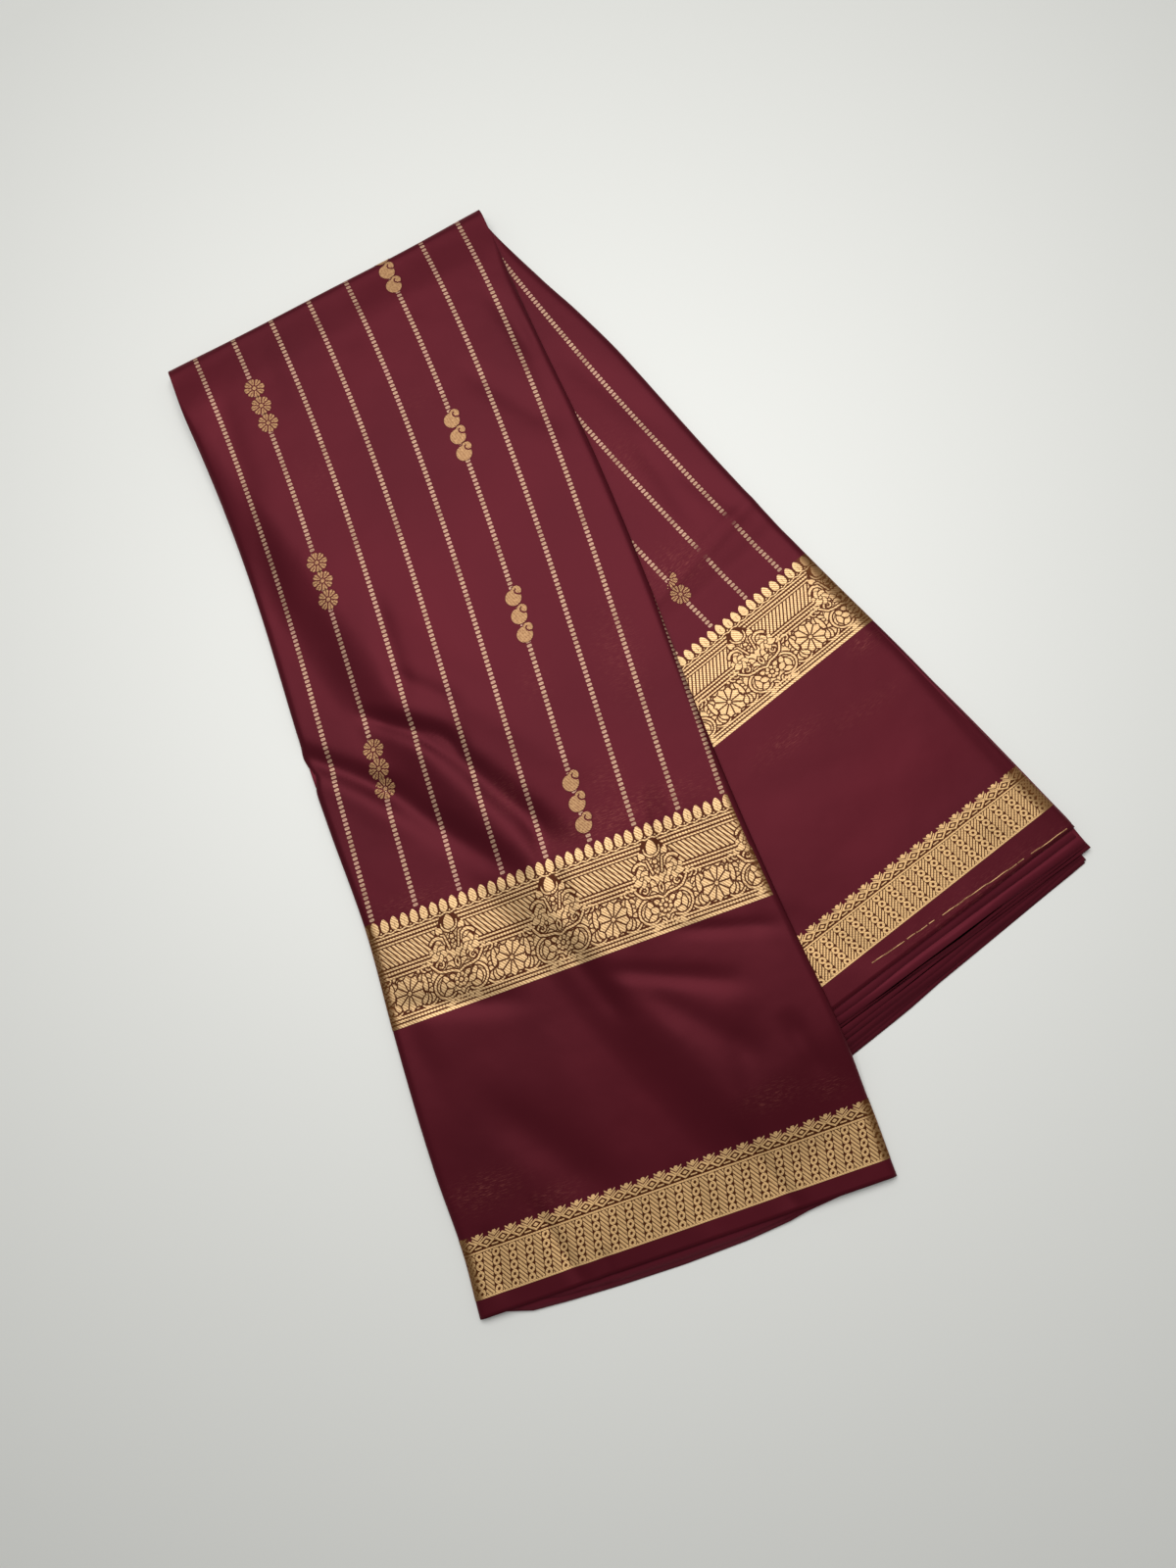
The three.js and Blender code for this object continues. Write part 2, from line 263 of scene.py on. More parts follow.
# Soft troughs (depth above 0) and ridges (below 0), pressed in by hand: from u, v to u, v, depth,
# half width at the start and at the end
frontCreases = (
    (54, 334, 98, 300, 3.0, 4.5, 6.5),  # the long slanting trough in the body
    (86, 310, 138, 228, 3.6, 6.5, 8.5),
    (4, 332, 60, 284, 2.9, 5.5, 7),  # the one beside it, from the left fold
    (48, 292, 114, 216, 2.1, 6.5, 8),
    (78, 396, 80, 338, 1.0, 6, 6),
    (76, 350, 106, 322, 1.0, 5, 6),
    (176, 510, 214, 458, 1.0, 7, 9),
    (206, 554, 214, 510, 0.8, 5, 6),
    (214, 540, 216, 466, 1.0, 6, 7),
    (128, 242, 134, 180, 1.5, 7, 6),  # across the wide border
    (197, 230, 192, 180, 1.2, 5, 5),
    (124, 176, 142, 126, 1.5, 5.5, 6.5),  # in the plain band under it
    (146, 149, 206, 123, 1.3, 5, 6),
    (160, 131, 202, 84, 1.2, 7, 9),
    (202, 98, 188, 34, 1.5, 10, 9),
    (62, 100, 100, 42, 1.7, 11, 13),
    (32, 169, 90, 153, 1.4, 6, 7),
    (226, 94, 232, 62, 1.3, 6, 6),
    (190, 157, 236, 144, 1.0, 3.5, 4),
    (63, 44, 72, -2, 1.3, 3.5, 4.5),  # at the hem
    (88, 13, 85, -4, 0.9, 3.5, 4),
    (179, 46, 192, -2, 1.4, 4, 5.5),
    (34, 40, 30, 8, 0.8, 5, 5),
    (142, 40, 148, 6, 0.5, 6, 6),
    (100, 334, 164, 262, -1.0, 9, 13),
    (20, 310, 62, 262, -0.7, 7, 9),
    (92, 384, 128, 330, -0.6, 9, 12),
    (70, 214, 76, 160, -0.6, 6, 6),
    (162, 214, 166, 160, -0.7, 7, 7),
    (104, 120, 112, 40, -0.6, 12, 14),
    (216, 214, 228, 140, 0.8, 7, 9),
    (20, 210, 34, 120, 0.8, 7, 9),
    (30, 560, 22, 420, 0.8, 9, 8),
    (118, 470, 172, 448, 0.5, 14, 16),
    (34, 470, 96, 452, 0.4, 14, 16),
    (164, 356, 212, 318, 0.6, 12, 16),
    (60, 592, 66, 540, 0.6, 7, 8),
    (112, 600, 122, 556, 0.5, 8, 9),
    (168, 604, 160, 560, 0.5, 8, 9),
)
rearCreases = (
    (164, 230, 264, 238, 0.95, 7, 8),  # the break above the wide border
    (160, 244, 266, 262, -0.9, 4, 5),
    (228, 402, 240, 328, 0.9, 8, 8),
    (226, 332, 218, 272, 0.7, 6, 6),
    (230, 302, 246, 248, 0.8, 6, 8),
    (249, 192, 250, 96, 0.9, 3, 4),
    (247, 112, 238, 8, 0.9, 3, 4),
    (206, 440, 220, 360, 0.4, 12, 12),
    (120, 120, 220, 96, 0.5, 18, 20),
    (140, 66, 226, 60, 0.4, 14, 14),
    (90, 60, 110, 8, 0.5, 10, 8),
    (206, 26, 214, -4, 0.6, 6, 5),
    (60, 300, 84, 200, 0.7, 12, 14),
    (40, 460, 60, 380, 0.7, 10, 12),
)
frontFold = {"softDip": 1.5, "softFrom": 30}  # the front leg sinks a little towards the cross fold
# How far creases may rise and sink, where they end (mm before the cross fold, or v) and fade out
frontPress = {"rise": -1.0, "sink": 3.7, "end": 6, "fade": 20}
rearPress = {"rise": -0.6, "sink": 0.95, "end": 530, "fade": 60}
rearDraw = {"most": 4.5, "from": 462, "over": 50}  # how far the right side draws in, and where


# Each crease: along it a smooth rise and fall, across it a bell curve whose width changes evenly
def creaseDepth(table, u, v):
    depth = 0
    for u1, v1, u2, v2, deep, width1, width2 in table:
        du = u2 - u1
        dv = v2 - v1
        along = ((u - u1) * du + (v - v1) * dv) / (du * du + dv * dv)
        across = ((u - u1) * dv - (v - v1) * du) / np.hypot(du, dv)
        width = mix(width1, width2, np.clip(along, 0, 1))
        depth = depth + deep * smooth(1.5 - np.abs(along - 0.5) * 2) * np.exp(-((across / width) ** 2))
    return depth


# What the front leg lies on: the rear leg where there is one, else the table
def bedHeight(x, y):
    u, v = clothPoint(rear, x, y)
    start = legShape["drapeStart"]
    beside = smooth((u - edgeAt(rear, "left", v) + start) / legShape["drapeWidth"] + 1)
    beyond = smooth((v + start) / legShape["hemDrape"] + 1)
    return (legShape["legHeight"] + legShape["clearance"]) * beside * beyond


def frontLevel(u, v):
    return smooth((turnStart(front, u) - v) / legShape["foldFade"])


def frontBed(u, v):
    full = legShape["legHeight"] + legShape["clearance"]
    return mix(full, bedHeight(*place(front, u, v)), frontLevel(u, v))


def foldDip(u, v):
    start = turnStart(front, u) - frontFold["softFrom"]
    amount = frontFold["softDip"] * (1 + 0.25 * np.sin(u / 23 + 1.1))
    return amount * smooth((v - start) / frontFold["softFrom"])


# Upper face of the front leg: the bed, the leg's height that tapers to the hem, less the creases
def frontTop(u, v):
    height = mix(legShape["hemHeight"], legShape["legHeight"], smooth(v / legShape["hemTaper"]))
    depth = np.clip(creaseDepth(frontCreases, u, v), frontPress["rise"], frontPress["sink"])
    held = smooth((foldLine(front, u) - frontPress["end"] - v) / frontPress["fade"])
    held = np.minimum(1.0, frontLevel(u, v) + 0.25) * held
    return frontBed(u, v) + height - depth * held - foldDip(u, v)


def rearTop(u, v):
    depth = np.clip(creaseDepth(rearCreases, u, v), rearPress["rise"], rearPress["sink"])
    return legShape["legHeight"] - depth * smooth((rearPress["end"] - v) / rearPress["fade"])


# The rear leg's right side draws in a little where the front leg covers it, by the cross fold
def drawnIn(v):
    return rearDraw["most"] * smooth((v - rearDraw["from"]) / rearDraw["over"])


# How far the side folds are rolled: fully along the leg, and no more at the cross fold
def rollShare(leg, v):
    return smooth((turnStart(leg, legShape["centreLine"]) - 6 - v) / legShape["foldFade"])


# Woven coordinates. The front leg's warp leans near its hem, and the rear leg's weft is tilted and
# a little drawn in at the wide border, so the pattern is looked up at its own u and v.
wovenLean = {"reach": 216, "lean": 39.6, "power": 1.8}
rearWoven = {
    "geometry": (-40, 0, 15.8, 45.2, 157.9, 212.5, 612.5),
    "pattern": (-40, 0, 9.7, 41.9, 158.8, 219.2, 619.2),
    "tiltAt": (15, 45, 158, 213, 330, 500),
    "tilt": (0.018, 0.014, 0.039, 0.047, 0.02, 0.0),
    "middle": 200,
}


def frontPattern(u, v):
    near = np.clip(1 - v / wovenLean["reach"], 0, 1.2)
    return u + wovenLean["lean"] * near ** wovenLean["power"], v


def rearPattern(u, v):
    tilt = np.interp(v, rearWoven["tiltAt"], rearWoven["tilt"])
    level = v - tilt * (u - rearWoven["middle"])
    return u, np.interp(level, rearWoven["geometry"], rearWoven["pattern"])


def rearFromPattern(u, patternV):
    level = np.interp(patternV, rearWoven["pattern"], rearWoven["geometry"])
    v = level
    for _ in range(6):
        v = level + np.interp(v, rearWoven["tiltAt"], rearWoven["tilt"]) * (u - rearWoven["middle"])
    return v


# Meshes


# A grid of points (rows, columns, xyz in mm) becomes a mesh whose faces point out of the side set by the
# order of the points
def gridMesh(name, points, woven, material, closeAcross=False, keep=None):
    rows, columns = points.shape[:2]
    index = np.arange(rows * columns).reshape(rows, columns)
    right = np.roll(index, -1, axis=1) if closeAcross else index[:, 1:]
    left = index if closeAcross else index[:, :-1]
    quads = np.stack([left[:-1], right[:-1], right[1:], left[1:]], axis=-1).reshape(-1, 4)
    if keep is not None:
        quads = quads[keep[:-1, :-1].ravel()]
    used = np.unique(quads)
    fresh = np.full(rows * columns, -1)
    fresh[used] = np.arange(len(used))
    quads = fresh[quads]
    mesh = bpy.data.meshes.new(name)
    mesh.from_pydata((points.reshape(-1, 3)[used] * mm).tolist(), [], quads.tolist())
    corners = quads.ravel()
    clothMap = mesh.uv_layers.new(name="clothMap")
    flatUv = (woven.reshape(-1, 2)[used] * mm)[corners]
    clothMap.data.foreach_set("uv", flatUv.astype(np.float32).ravel())
    mesh.materials.append(material)
    mesh.shade_smooth()
    return addObject(name, mesh), used


# The map for baking: shares of the width and length. A long strip is cut at its middle column and
# its halves are laid one above the other, so that it gets twice the pixels along its length.
def bakeMap(piece, used, shape, halved):
    rows, columns = shape[:2]
    corners = np.zeros(len(piece.data.loops), np.int32)
    piece.data.loops.foreach_get("vertex_index", corners)
    across = np.tile(np.linspace(0, 1, columns), rows)[used]
    along = np.repeat(np.linspace(0, 1, rows), columns)[used]
    flat = np.stack([across, along], axis=-1)[corners]
    if halved:
        cut = np.linspace(0, 1, columns)[columns // 2]
        upper = flat.reshape(-1, 4, 2)[:, :, 0].mean(axis=1).repeat(4) > cut
        share = np.where(upper, (flat[:, 0] - cut) / (1 - cut), flat[:, 0] / cut)
        flat = np.stack([share, flat[:, 1] * 0.49 + np.where(upper, 0.51, 0)], axis=-1)
    layer = piece.data.uv_layers.new(name="OFBake")
    layer.data.foreach_set("uv", flat.astype(np.float32).ravel())


# One woven piece: its mesh and, by name, what its material reads at each point. The bake map is made
# for "sheet" and "strip"; motifs go without.
def weave(name, material, points, woven, depths, keep=None, bake=None, thickness=0):
    woven = np.stack(woven, axis=-1)
    piece, used = gridMesh(name, points, woven, material, keep=keep)
    for depth, values in depths.items():
        attribute = piece.data.attributes.new(depth, "FLOAT", "POINT")
        values = np.broadcast_to(values, points.shape[:2])
        attribute.data.foreach_set("value", values.ravel()[used].astype(np.float32))
    if bake:
        bakeMap(piece, used, points.shape, bake == "strip")
    if thickness:
        shell = piece.modifiers.new("clothThickness", "SOLIDIFY")
        shell.thickness = thickness * mm
        shell.offset = -1
    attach(piece, "root")
    return piece


# Satin silk: a smooth face of long floats, so the shine is broad, soft and a little pink
satin = {
    "deep": "#421019",
    "light": "#571722",
    "middle": "#4c131d",
    "tint": "#ffadb8",  # of the shine
    "swell": 0.4,  # strength of the soft unevenness
    "stripeGold": "#b3937a",
    "stripeDull": "#987a64",
    "stripePink": "#b08a79",
    "fleck": "#94544a",
    "roughness": 0.42,
    "specular": 0.2,
    "gleam": 0.34,  # share of the light that the silk sends back in its own colour
    "pitch": 26.0,  # mm between two stripes
    "dashPitch": 2.6,
    "dashWide": 1.4,  # half width of a dash
    "dashLong": 0.84,  # half its length
    "stripesFrom": 219.0,
}


# The cloth's own u and v in mm, for what follows the weave
def clothPlace(tree):
    metres = addNode(tree, "UVMap", uv_map="clothMap")
    return addNode(tree, "VectorMath", {0: metres, "Scale": 1000.0}, operation="SCALE")


def makeSatin(name, look, striped):
    material, tree = newMaterial(name)
    spot = addNode(tree, "TexCoord", give="Object")
    cloth = clothPlace(tree)
    cloud = addNode(tree, "TexNoise", {"Vector": spot, "Scale": 9.0, "Detail": 2.0})
    shades = {"Factor": cloud, "A": linear(look["deep"]), "B": linear(look["light"])}
    colour = addNode(tree, "Mix", shades, "Result", data_type="RGBA")
    if striped:
        colour = addStripes(tree, look, colour, cloth)
    colour = addFloats(tree, look, colour, cloth)
    twill = {"Vector": cloth, "Scale": 0.9, "Distortion": 1.2, "Detail": 1.0}
    grain = addNode(tree, "TexWave", twill, "Fac", bands_direction="DIAGONAL")
    # Soft unevenness of pressed cloth, some 30 mm from rise to rise
    uneven = addNode(tree, "TexNoise", {"Vector": spot, "Scale": 24.0, "Detail": 2.5})
    swell = addNode(tree, "Bump", {"Height": uneven, "Strength": look["swell"], "Distance": 0.002})
    relief = {"Height": grain, "Strength": 0.05, "Distance": 0.0002, "Normal": swell}
    surface = {
        "Base Color": colour,
        "Roughness": look["roughness"],
        "Metallic": look["gleam"],
        "Specular IOR Level": look["specular"],
        "Specular Tint": linear(look["tint"]),
        "Normal": addNode(tree, "Bump", relief),
    }
    addNode(tree, "OutputMaterial", {"Surface": addNode(tree, "BsdfPrincipled", surface)})
    return material


# Stripes of gold dashes: the nearest multiple of the pitch gives a point's stripe and its place across
# it, and with v its dash and its place along it. A dash is a superellipse cut by a fine diagonal, and
# its shade is drawn by lot.
def addStripes(tree, look, colour, cloth):
    u = addNode(tree, "SeparateXYZ", {"Vector": cloth}, "X")
    v = u.node.outputs["Y"]
    counts, offsets, powers = [], [], []
    for value, pitch, half in ((u, "pitch", "dashWide"), (v, "dashPitch", "dashLong")):
        share = addNode(tree, "Math", {0: value, 1: look[pitch]}, operation="DIVIDE")
        count = addNode(tree, "Math", {0: share}, operation="ROUND")
        rest = addNode(tree, "Math", {0: share, 1: count}, operation="SUBTRACT")
        offset = addNode(tree, "Math", {0: rest, 1: look[pitch]}, operation="MULTIPLY")
        ratio = addNode(tree, "Math", {0: offset, 1: look[half]}, operation="DIVIDE")
        counts.append(count)
        offsets.append(offset)
        powers.append(addNode(tree, "Math", {0: ratio, 1: 4.0}, operation="POWER"))
    both = addNode(tree, "Math", {0: powers[0], 1: powers[1]}, operation="ADD")
    rim = {"Value": both, "From Min": 0.8, "From Max": 1.2, "To Min": 1.0, "To Max": 0.0}
    slant = addNode(tree, "Math", {0: offsets[0], 1: 0.7, 2: offsets[1]}, operation="MULTIPLY_ADD")
    offCut = addNode(tree, "Math", {0: slant}, operation="ABSOLUTE")
    cut = {"Value": offCut, "From Min": 0.1, "From Max": 0.3, "To Min": 0.45, "To Max": 1.0}
    first = look["stripesFrom"]
    above = addNode(tree, "MapRange", {"Value": v, "From Min": first, "From Max": first + 0.5})
    inCloth = addNode(tree, "Math", {0: counts[0], 1: 0.5}, operation="GREATER_THAN")
    hidden = addNode(tree, "Attribute", give="Fac", attribute_name="hiddenStripe")
    shown = addNode(tree, "Math", {0: 1.0, 1: hidden}, operation="SUBTRACT")
    mask = addNode(tree, "MapRange", rim)
    for limit in (addNode(tree, "MapRange", cut), above, inCloth, shown):
        mask = addNode(tree, "Math", {0: mask, 1: limit}, operation="MULTIPLY")
    lot = addNode(tree, "CombineXYZ", {"X": counts[0], "Y": counts[1]})
    drift = addNode(tree, "TexNoise", {"Vector": lot, "Scale": 0.16, "Detail": 3.0})
    shades = addNode(tree, "ValToRGB", {"Fac": drift})
    ramp = shades.node.color_ramp
    ramp.elements[0].position = 0.34
    ramp.elements[0].color = linear(look["stripeDull"])
    ramp.elements[1].position = 0.66
    ramp.elements[1].color = linear(look["stripePink"])
    ramp.elements.new(0.5).color = linear(look["stripeGold"])
    return addNode(tree, "Mix", {"Factor": mask, "A": colour, "B": shades}, "Result", data_type="RGBA")


# Faint broken lines where the extra weft shows through: noise drawn out along the weft, kept where
# the sheet's own amount of floats is high
def addFloats(tree, look, colour, cloth):
    drawn = addNode(tree, "Mapping", {"Vector": cloth, "Scale": (0.2, 2.3, 1.0)})
    noise = addNode(tree, "TexNoise", {"Vector": drawn, "Scale": 1.2, "Detail": 3.0})
    amount = addNode(tree, "Attribute", give="Fac", attribute_name="floats")
    dashes = addNode(tree, "MapRange", {"Value": noise, "From Min": 0.54, "From Max": 0.64})
    mask = addNode(tree, "Math", {0: dashes, 1: amount}, operation="MULTIPLY")
    faint = addNode(tree, "Math", {0: mask, 1: 0.45}, operation="MULTIPLY")
    shades = {"Factor": faint, "A": colour, "B": linear(look["fleck"])}
    return addNode(tree, "Mix", shades, "Result", data_type="RGBA")


# Zari, flat gilt thread laid in as extra weft: bright metal in fine diagonal stitches, with the
# darker ground showing between the figures
zari = {
    "bright": "#e9c694",
    "deep": "#7e4f22",
    "contrast": 1.3,
    "ground": "#46220c",  # the dark outline round each figure
    "rolled": "#5a3817",  # painted shade: the gold turned dark brown down the side rolls, where they face away from the light
    "stitch": 1.3,  # mm between two stitches, drawn a little coarser than the real 0.6
    "bands": "DIAGONAL",
    "scaleOf": 0.4443,  # the wave texture's scale for a pitch of 1 mm
    "metal": 0.48,
    "roughness": 0.42,
}
narrowThread = {**zari, "bright": "#e6bf88", "contrast": 0.8, "stitch": 1.0}
motifThread = {
    **zari,
    "bright": "#cfa777",
    "deep": "#5f3420",
    "ground": satin["middle"],
    "contrast": 2.0,
    "stitch": 1.5,
    "bands": "Y",
    "scaleOf": 0.6283,
    "metal": 0.25,
}


def makeZari(name, look):
    material, tree = newMaterial(name)
    cloth = clothPlace(tree)
    depth = addNode(tree, "Attribute", give="Fac", attribute_name="zari")
    plain = addNode(tree, "Attribute", give="Fac", attribute_name="plainGround")
    rolled = addNode(tree, "Attribute", give="Fac", attribute_name="rolled")
    figure = addNode(tree, "MapRange", {"Value": depth, "From Min": -0.1, "From Max": 0.12})
    bands = {"Vector": cloth, "Scale": look["scaleOf"] / look["stitch"], "Distortion": 0.6}
    stitches = addNode(tree, "TexWave", bands, "Fac", bands_direction=look["bands"])
    patches = addNode(tree, "TexNoise", {"Vector": cloth, "Scale": 0.7, "Detail": 2.0})
    shade = addNode(tree, "Math", {0: stitches, 1: patches}, operation="MULTIPLY")
    shade = addNode(tree, "Math", {0: shade, 1: look["contrast"]}, operation="MULTIPLY")
    gold = {"Factor": shade, "A": linear(look["bright"]), "B": linear(look["deep"])}
    gold = addNode(tree, "Mix", gold, "Result", data_type="RGBA")
    # Painted shade: the gold is mixed towards dark brown down the side rolls, where the cloth turns away
    # from the light
    paintedRollShadeShare = addNode(tree, "Math", {0: rolled, 1: 0.8}, operation="MULTIPLY")
    colour = linear(look["ground"])
    layers = ((plain, linear(satin["middle"])), (figure, gold), (paintedRollShadeShare, linear(look["rolled"])))
    for share, over in layers:
        colour = addNode(tree, "Mix", {"Factor": share, "A": colour, "B": over}, "Result", data_type="RGBA")
    metal = {"Value": figure, "To Min": satin["gleam"], "To Max": look["metal"]}
    relief = addNode(tree, "Math", {0: stitches, 1: 0.3, 2: figure}, operation="MULTIPLY_ADD")
    surface = {
        "Base Color": colour,
        "Metallic": addNode(tree, "MapRange", metal),
        "Roughness": look["roughness"],
        "Specular IOR Level": satin["specular"],
        "Specular Tint": linear(satin["tint"]),
        "Normal": addNode(tree, "Bump", {"Height": relief, "Strength": 0.35, "Distance": 0.0002}),
    }
    addNode(tree, "OutputMaterial", {"Surface": addNode(tree, "BsdfPrincipled", surface)})
    return material


stripedSatin = makeSatin("stripedSatinSilk", satin, True)
# The hidden layers' satin: the same silk without stripes, painted lighter than the top sheets to make up
# for the shade that falls between the layers
layerSatinPaintedLighter = makeSatin("layerSatinPaintedLighterSilk", {**satin, "deep": "#571824", "light": "#6a2431"}, False)
borderZari = makeZari("borderZari", zari)
narrowZari = makeZari("narrowBorderZari", narrowThread)
motifZari = makeZari("motifZari", motifThread)
print("materials made")


# The woven figures. Each shape is a depth in mm: above 0 inside it, below 0 outside.


farOutside = -9.0  # where nothing is drawn yet


def union(*figures):
    return functools.reduce(np.maximum, figures)


def overlap(*figures):
    return functools.reduce(np.minimum, figures)


# How far x is past the nearest of the lines that lie a pitch apart
def pastLine(x, pitch):
    return np.mod(x + pitch / 2, pitch) - pitch / 2


# How far a point is from the middle of its sector, of the given count round the centre: 0 to 1
def sectorShare(x, y, count):
    return np.abs(pastLine(np.arctan2(x, y) / (2 * np.pi / count), 1)) * 2


def ball(x, y, cx, cy, r):
    return r - np.hypot(x - cx, y - cy)


# A leaf is a lens: half its width, less the square of the place along it, less the place across it
def leaf(x, y, cx, cy, angle, length, width):
    c, s = np.cos(np.radians(angle)), np.sin(np.radians(angle))
    along = (x - cx) * c + (y - cy) * s
    across = (y - cy) * c - (x - cx) * s
    return width / 2 * (1 - (2 * along / length) ** 2) - np.abs(across)


# A line of the given width through points, thinner towards its end by the taper
def stroke(x, y, points, width, taper=0.0):
    points = np.asarray(points, float)
    best = np.full(np.shape(x), farOutside)
    count = len(points) - 1
    for i in range(count):
        a, b = points[i], points[i + 1]
        d = b - a
        t = np.clip(((x - a[0]) * d[0] + (y - a[1]) * d[1]) / (d @ d), 0, 1)
        half = width / 2 * (1 - taper * (i + t) / count)
        best = union(best, half - np.hypot(x - a[0] - t * d[0], y - a[1] - t * d[1]))
    return best


# Points along a curl: the angle and the radius both change evenly
def curl(cx, cy, r1, r2, turn1, turn2, steps=14):
    t = np.linspace(0, 1, steps)
    angle = np.radians(mix(turn1, turn2, t))
    radius = mix(r1, r2, t)
    return np.stack([cx + radius * np.cos(angle), cy + radius * np.sin(angle)], axis=-1)


# Lays a shape over what is there, with a dark outline of the given width round it, and adds it to
# what is covered
def lay(drawing, shape, outline):
    field, covered = drawing
    return union(shape, overlap(field, -shape - outline)), union(covered, shape)


wideBorder = {
    "from": 158.8,  # mm of the pattern above the hem
    "height": 60.4,
    "repeat": 60.0,
    "bouquetAt": 187.1,  # u of one bouquet's middle
    "dropPitch": 5.8,
    "hatchPitch": 2.6,
    "outline": 0.78,
    "fillPitch": 4.0,
    "lines": ((5.4, 1.0), (27.6, 1.0), (32.1, 1.0), (45.8, 0.95), (50.2, 1.0)),  # height, width
    "chains": (3.4, 29.9, 48.0),
}
# Right half of the bouquet, mirrored: x from its middle and height above the border's foot, in mm.
# Leaves: x, y, angle, length, width
bouquetLeaves = (
    (6.9, 3.7, -14, 8.0, 2.6),
    (16.4, 24.4, 66, 4.0, 2.4),
    (18.0, 22.2, 40, 4.6, 2.5),
    (18.8, 19.6, 12, 4.8, 2.6),
    (18.6, 16.8, -14, 4.8, 2.6),
    (17.7, 14.2, -38, 4.4, 2.4),
    (2.4, 30.0, 62, 8.4, 4.2),
    (5.0, 27.8, 34, 6.6, 3.6),
    (3.4, 23.7, 28, 5.4, 3.4),
    (5.4, 21.8, 4, 4.4, 2.4),
    (6.5, 43.0, 62, 5.6, 3.6),
    (4.4, 17.2, 38, 4.6, 2.6),
    (8.4, 16.4, 64, 5.4, 3.0),
    (10.6, 12.8, 88, 7.0, 3.2),
    (8.2, 9.6, 150, 6.4, 3.2),
    (6.4, 13.2, 30, 5.2, 3.4),
    (20.3, 19.0, 88, 11.6, 2.7),
    (18.2, 10.6, 52, 7.8, 3.8),
    (20.4, 10.8, 90, 7.4, 3.8),
    (22.7, 10.6, 128, 7.8, 3.8),
)
# Balls: x, y, radius
bouquetBalls = (
    (3.5, 6.1, 0.9),
    (16.4, 27.0, 0.7),
    (1.9, 36.6, 0.9),
    (3.0, 34.4, 0.8),
    (6.9, 27.2, 0.9),
    (22.9, 26.0, 0.9),
    (19.0, 26.6, 0.8),
    (24.6, 24.6, 0.9),
    (24.9, 8.3, 0.8),
)
# Curls: middle x, y, first and last radius, first and last angle, width of the line
bouquetCurls = (
    (3.5, 6.1, 2.2, 2.0, 215, -95, 1.0),
    (8.6, 13.2, 7.1, 6.4, 112, -128, 1.35),
    (9.6, 25.0, 3.1, 1.0, -70, 330, 1.1),
    (16.4, 27.0, 2.0, 1.7, -120, 170, 0.95),
    (8.6, 35.6, 4.2, 4.6, 176, 28, 1.9),
    (20.2, 12.2, 6.0, 6.0, 216, 324, 1.0),
    (19.0, 26.6, 1.9, 1.7, -90, 150, 0.9),
)
# Stems: points, width of the line and how much thinner it gets
bouquetStems = (
    (((0.2, 18.8), (3.4, 20.5), (8, 20.9), (11.6, 22), (13.7, 24.6), (14.9, 26.4)), 1.15, 0.0),
    (((2.6, 32.6), (3.6, 37), (4.4, 40.4), (6.2, 40.9)), 1.1, 0.4),
)


# How far inside the bouquet's own ground a point lies, where the bands behind it stop
def behindBouquet(x, y):
    x = np.abs(x)
    return np.minimum(1 - np.abs(y - 35.0) / 11.5, 1 - x / (13.6 - np.maximum(y - 34, 0) * 0.52)) * 9


# The bouquet: C scrolls with leaves in them, spirals, two round flowers, a fan and a bud on top
def drawBouquet(drawing, x, y, outline):
    x = np.abs(x)
    drawing = overlap(drawing[0], -behindBouquet(x, y)), drawing[1]
    for cx, cy, angle, length, width in bouquetLeaves:
        drawing = lay(drawing, leaf(x, y, cx, cy, angle, length, width), outline)
    for cx, cy, r in bouquetBalls:
        drawing = lay(drawing, ball(x, y, cx, cy, r), outline)
    for cx, cy, r1, r2, turn1, turn2, width in bouquetCurls:
        drawing = lay(drawing, stroke(x, y, curl(cx, cy, r1, r2, turn1, turn2), width, 0.25), outline)
    for points, width, taper in bouquetStems:
        drawing = lay(drawing, stroke(x, y, points, width, taper), outline)
    for turn in range(24, 384, 60):  # the round flower
        c, s = np.cos(np.radians(turn)), np.sin(np.radians(turn))
        petal = leaf(x, y, 9.6 + 2.5 * c, 31.8 + 2.5 * s, turn, 5.8, 4.0)
        drawing = lay(drawing, petal, outline * 0.7)
    drawing = lay(drawing, ball(x, y, 9.5, 31.8, 0.9), outline * 0.7)
    for turn in np.arange(22.5, 380, 45):  # the small flower at the foot
        c, s = np.cos(np.radians(turn)), np.sin(np.radians(turn))
        drawing = lay(drawing, ball(x, y, 2.9 * c, 14.3 + 2.9 * s, 1.05), outline * 0.6)
    drawing = lay(drawing, ball(x, y, 0, 14.3, 1.1), outline * 0.6)
    for cy, r in ((36.0, 0.9), (38.6, 1.2), (41.2, 0.8)):
        drawing = lay(drawing, ball(x, y, 0, cy, r), outline)
    field, covered = lay(drawing, leaf(x, y, 0, 24.2, 90, 6.4, 3.0), outline)
    drawing = overlap(field, -leaf(x, y, 0, 24.3, 90, 3.6, 1.4)), covered
    bud = union(ball(x, y, 0, 45.4, 2.9), leaf(x, y, 0, 46.6, 90, 9.4, 5.6))
    drawing = lay(drawing, bud, outline)
    return lay(drawing, stroke(x, y, curl(0, 46.0, 4.2, 4.6, -80, 10, 8), 1.2, 0.5), outline * 0.8)


# The rosette: ten wedges with scalloped ends, each parted from the next by a dark line
def drawRosette(drawing, x, y, outline):
    y = (y - 16.3) / 1.12
    r = np.hypot(x, y)
    sector = sectorShare(x, y, 10)
    rim = 8.4 * (1 - 0.2 * sector**3) + 0.45 * np.cos(sector * 2 * np.pi)
    wedge = overlap(rim - r, r * (1 - sector) * 0.314 - 0.38, r - 1.3)
    field, covered = lay(drawing, rim - r, outline)
    drawing = overlap(field, np.where(r < rim, wedge, field)), covered
    return lay(drawing, ball(x, y, 0, 0, 1.0), 0.3)


def goldLine(y, middle, width):
    return width / 2 - np.abs(y - middle)


# A row of small beads of thread: balls at an even pitch
def chain(x, y, middle, pitch):
    return 0.75 - np.hypot(pastLine(x, pitch) * 0.85, y - middle)


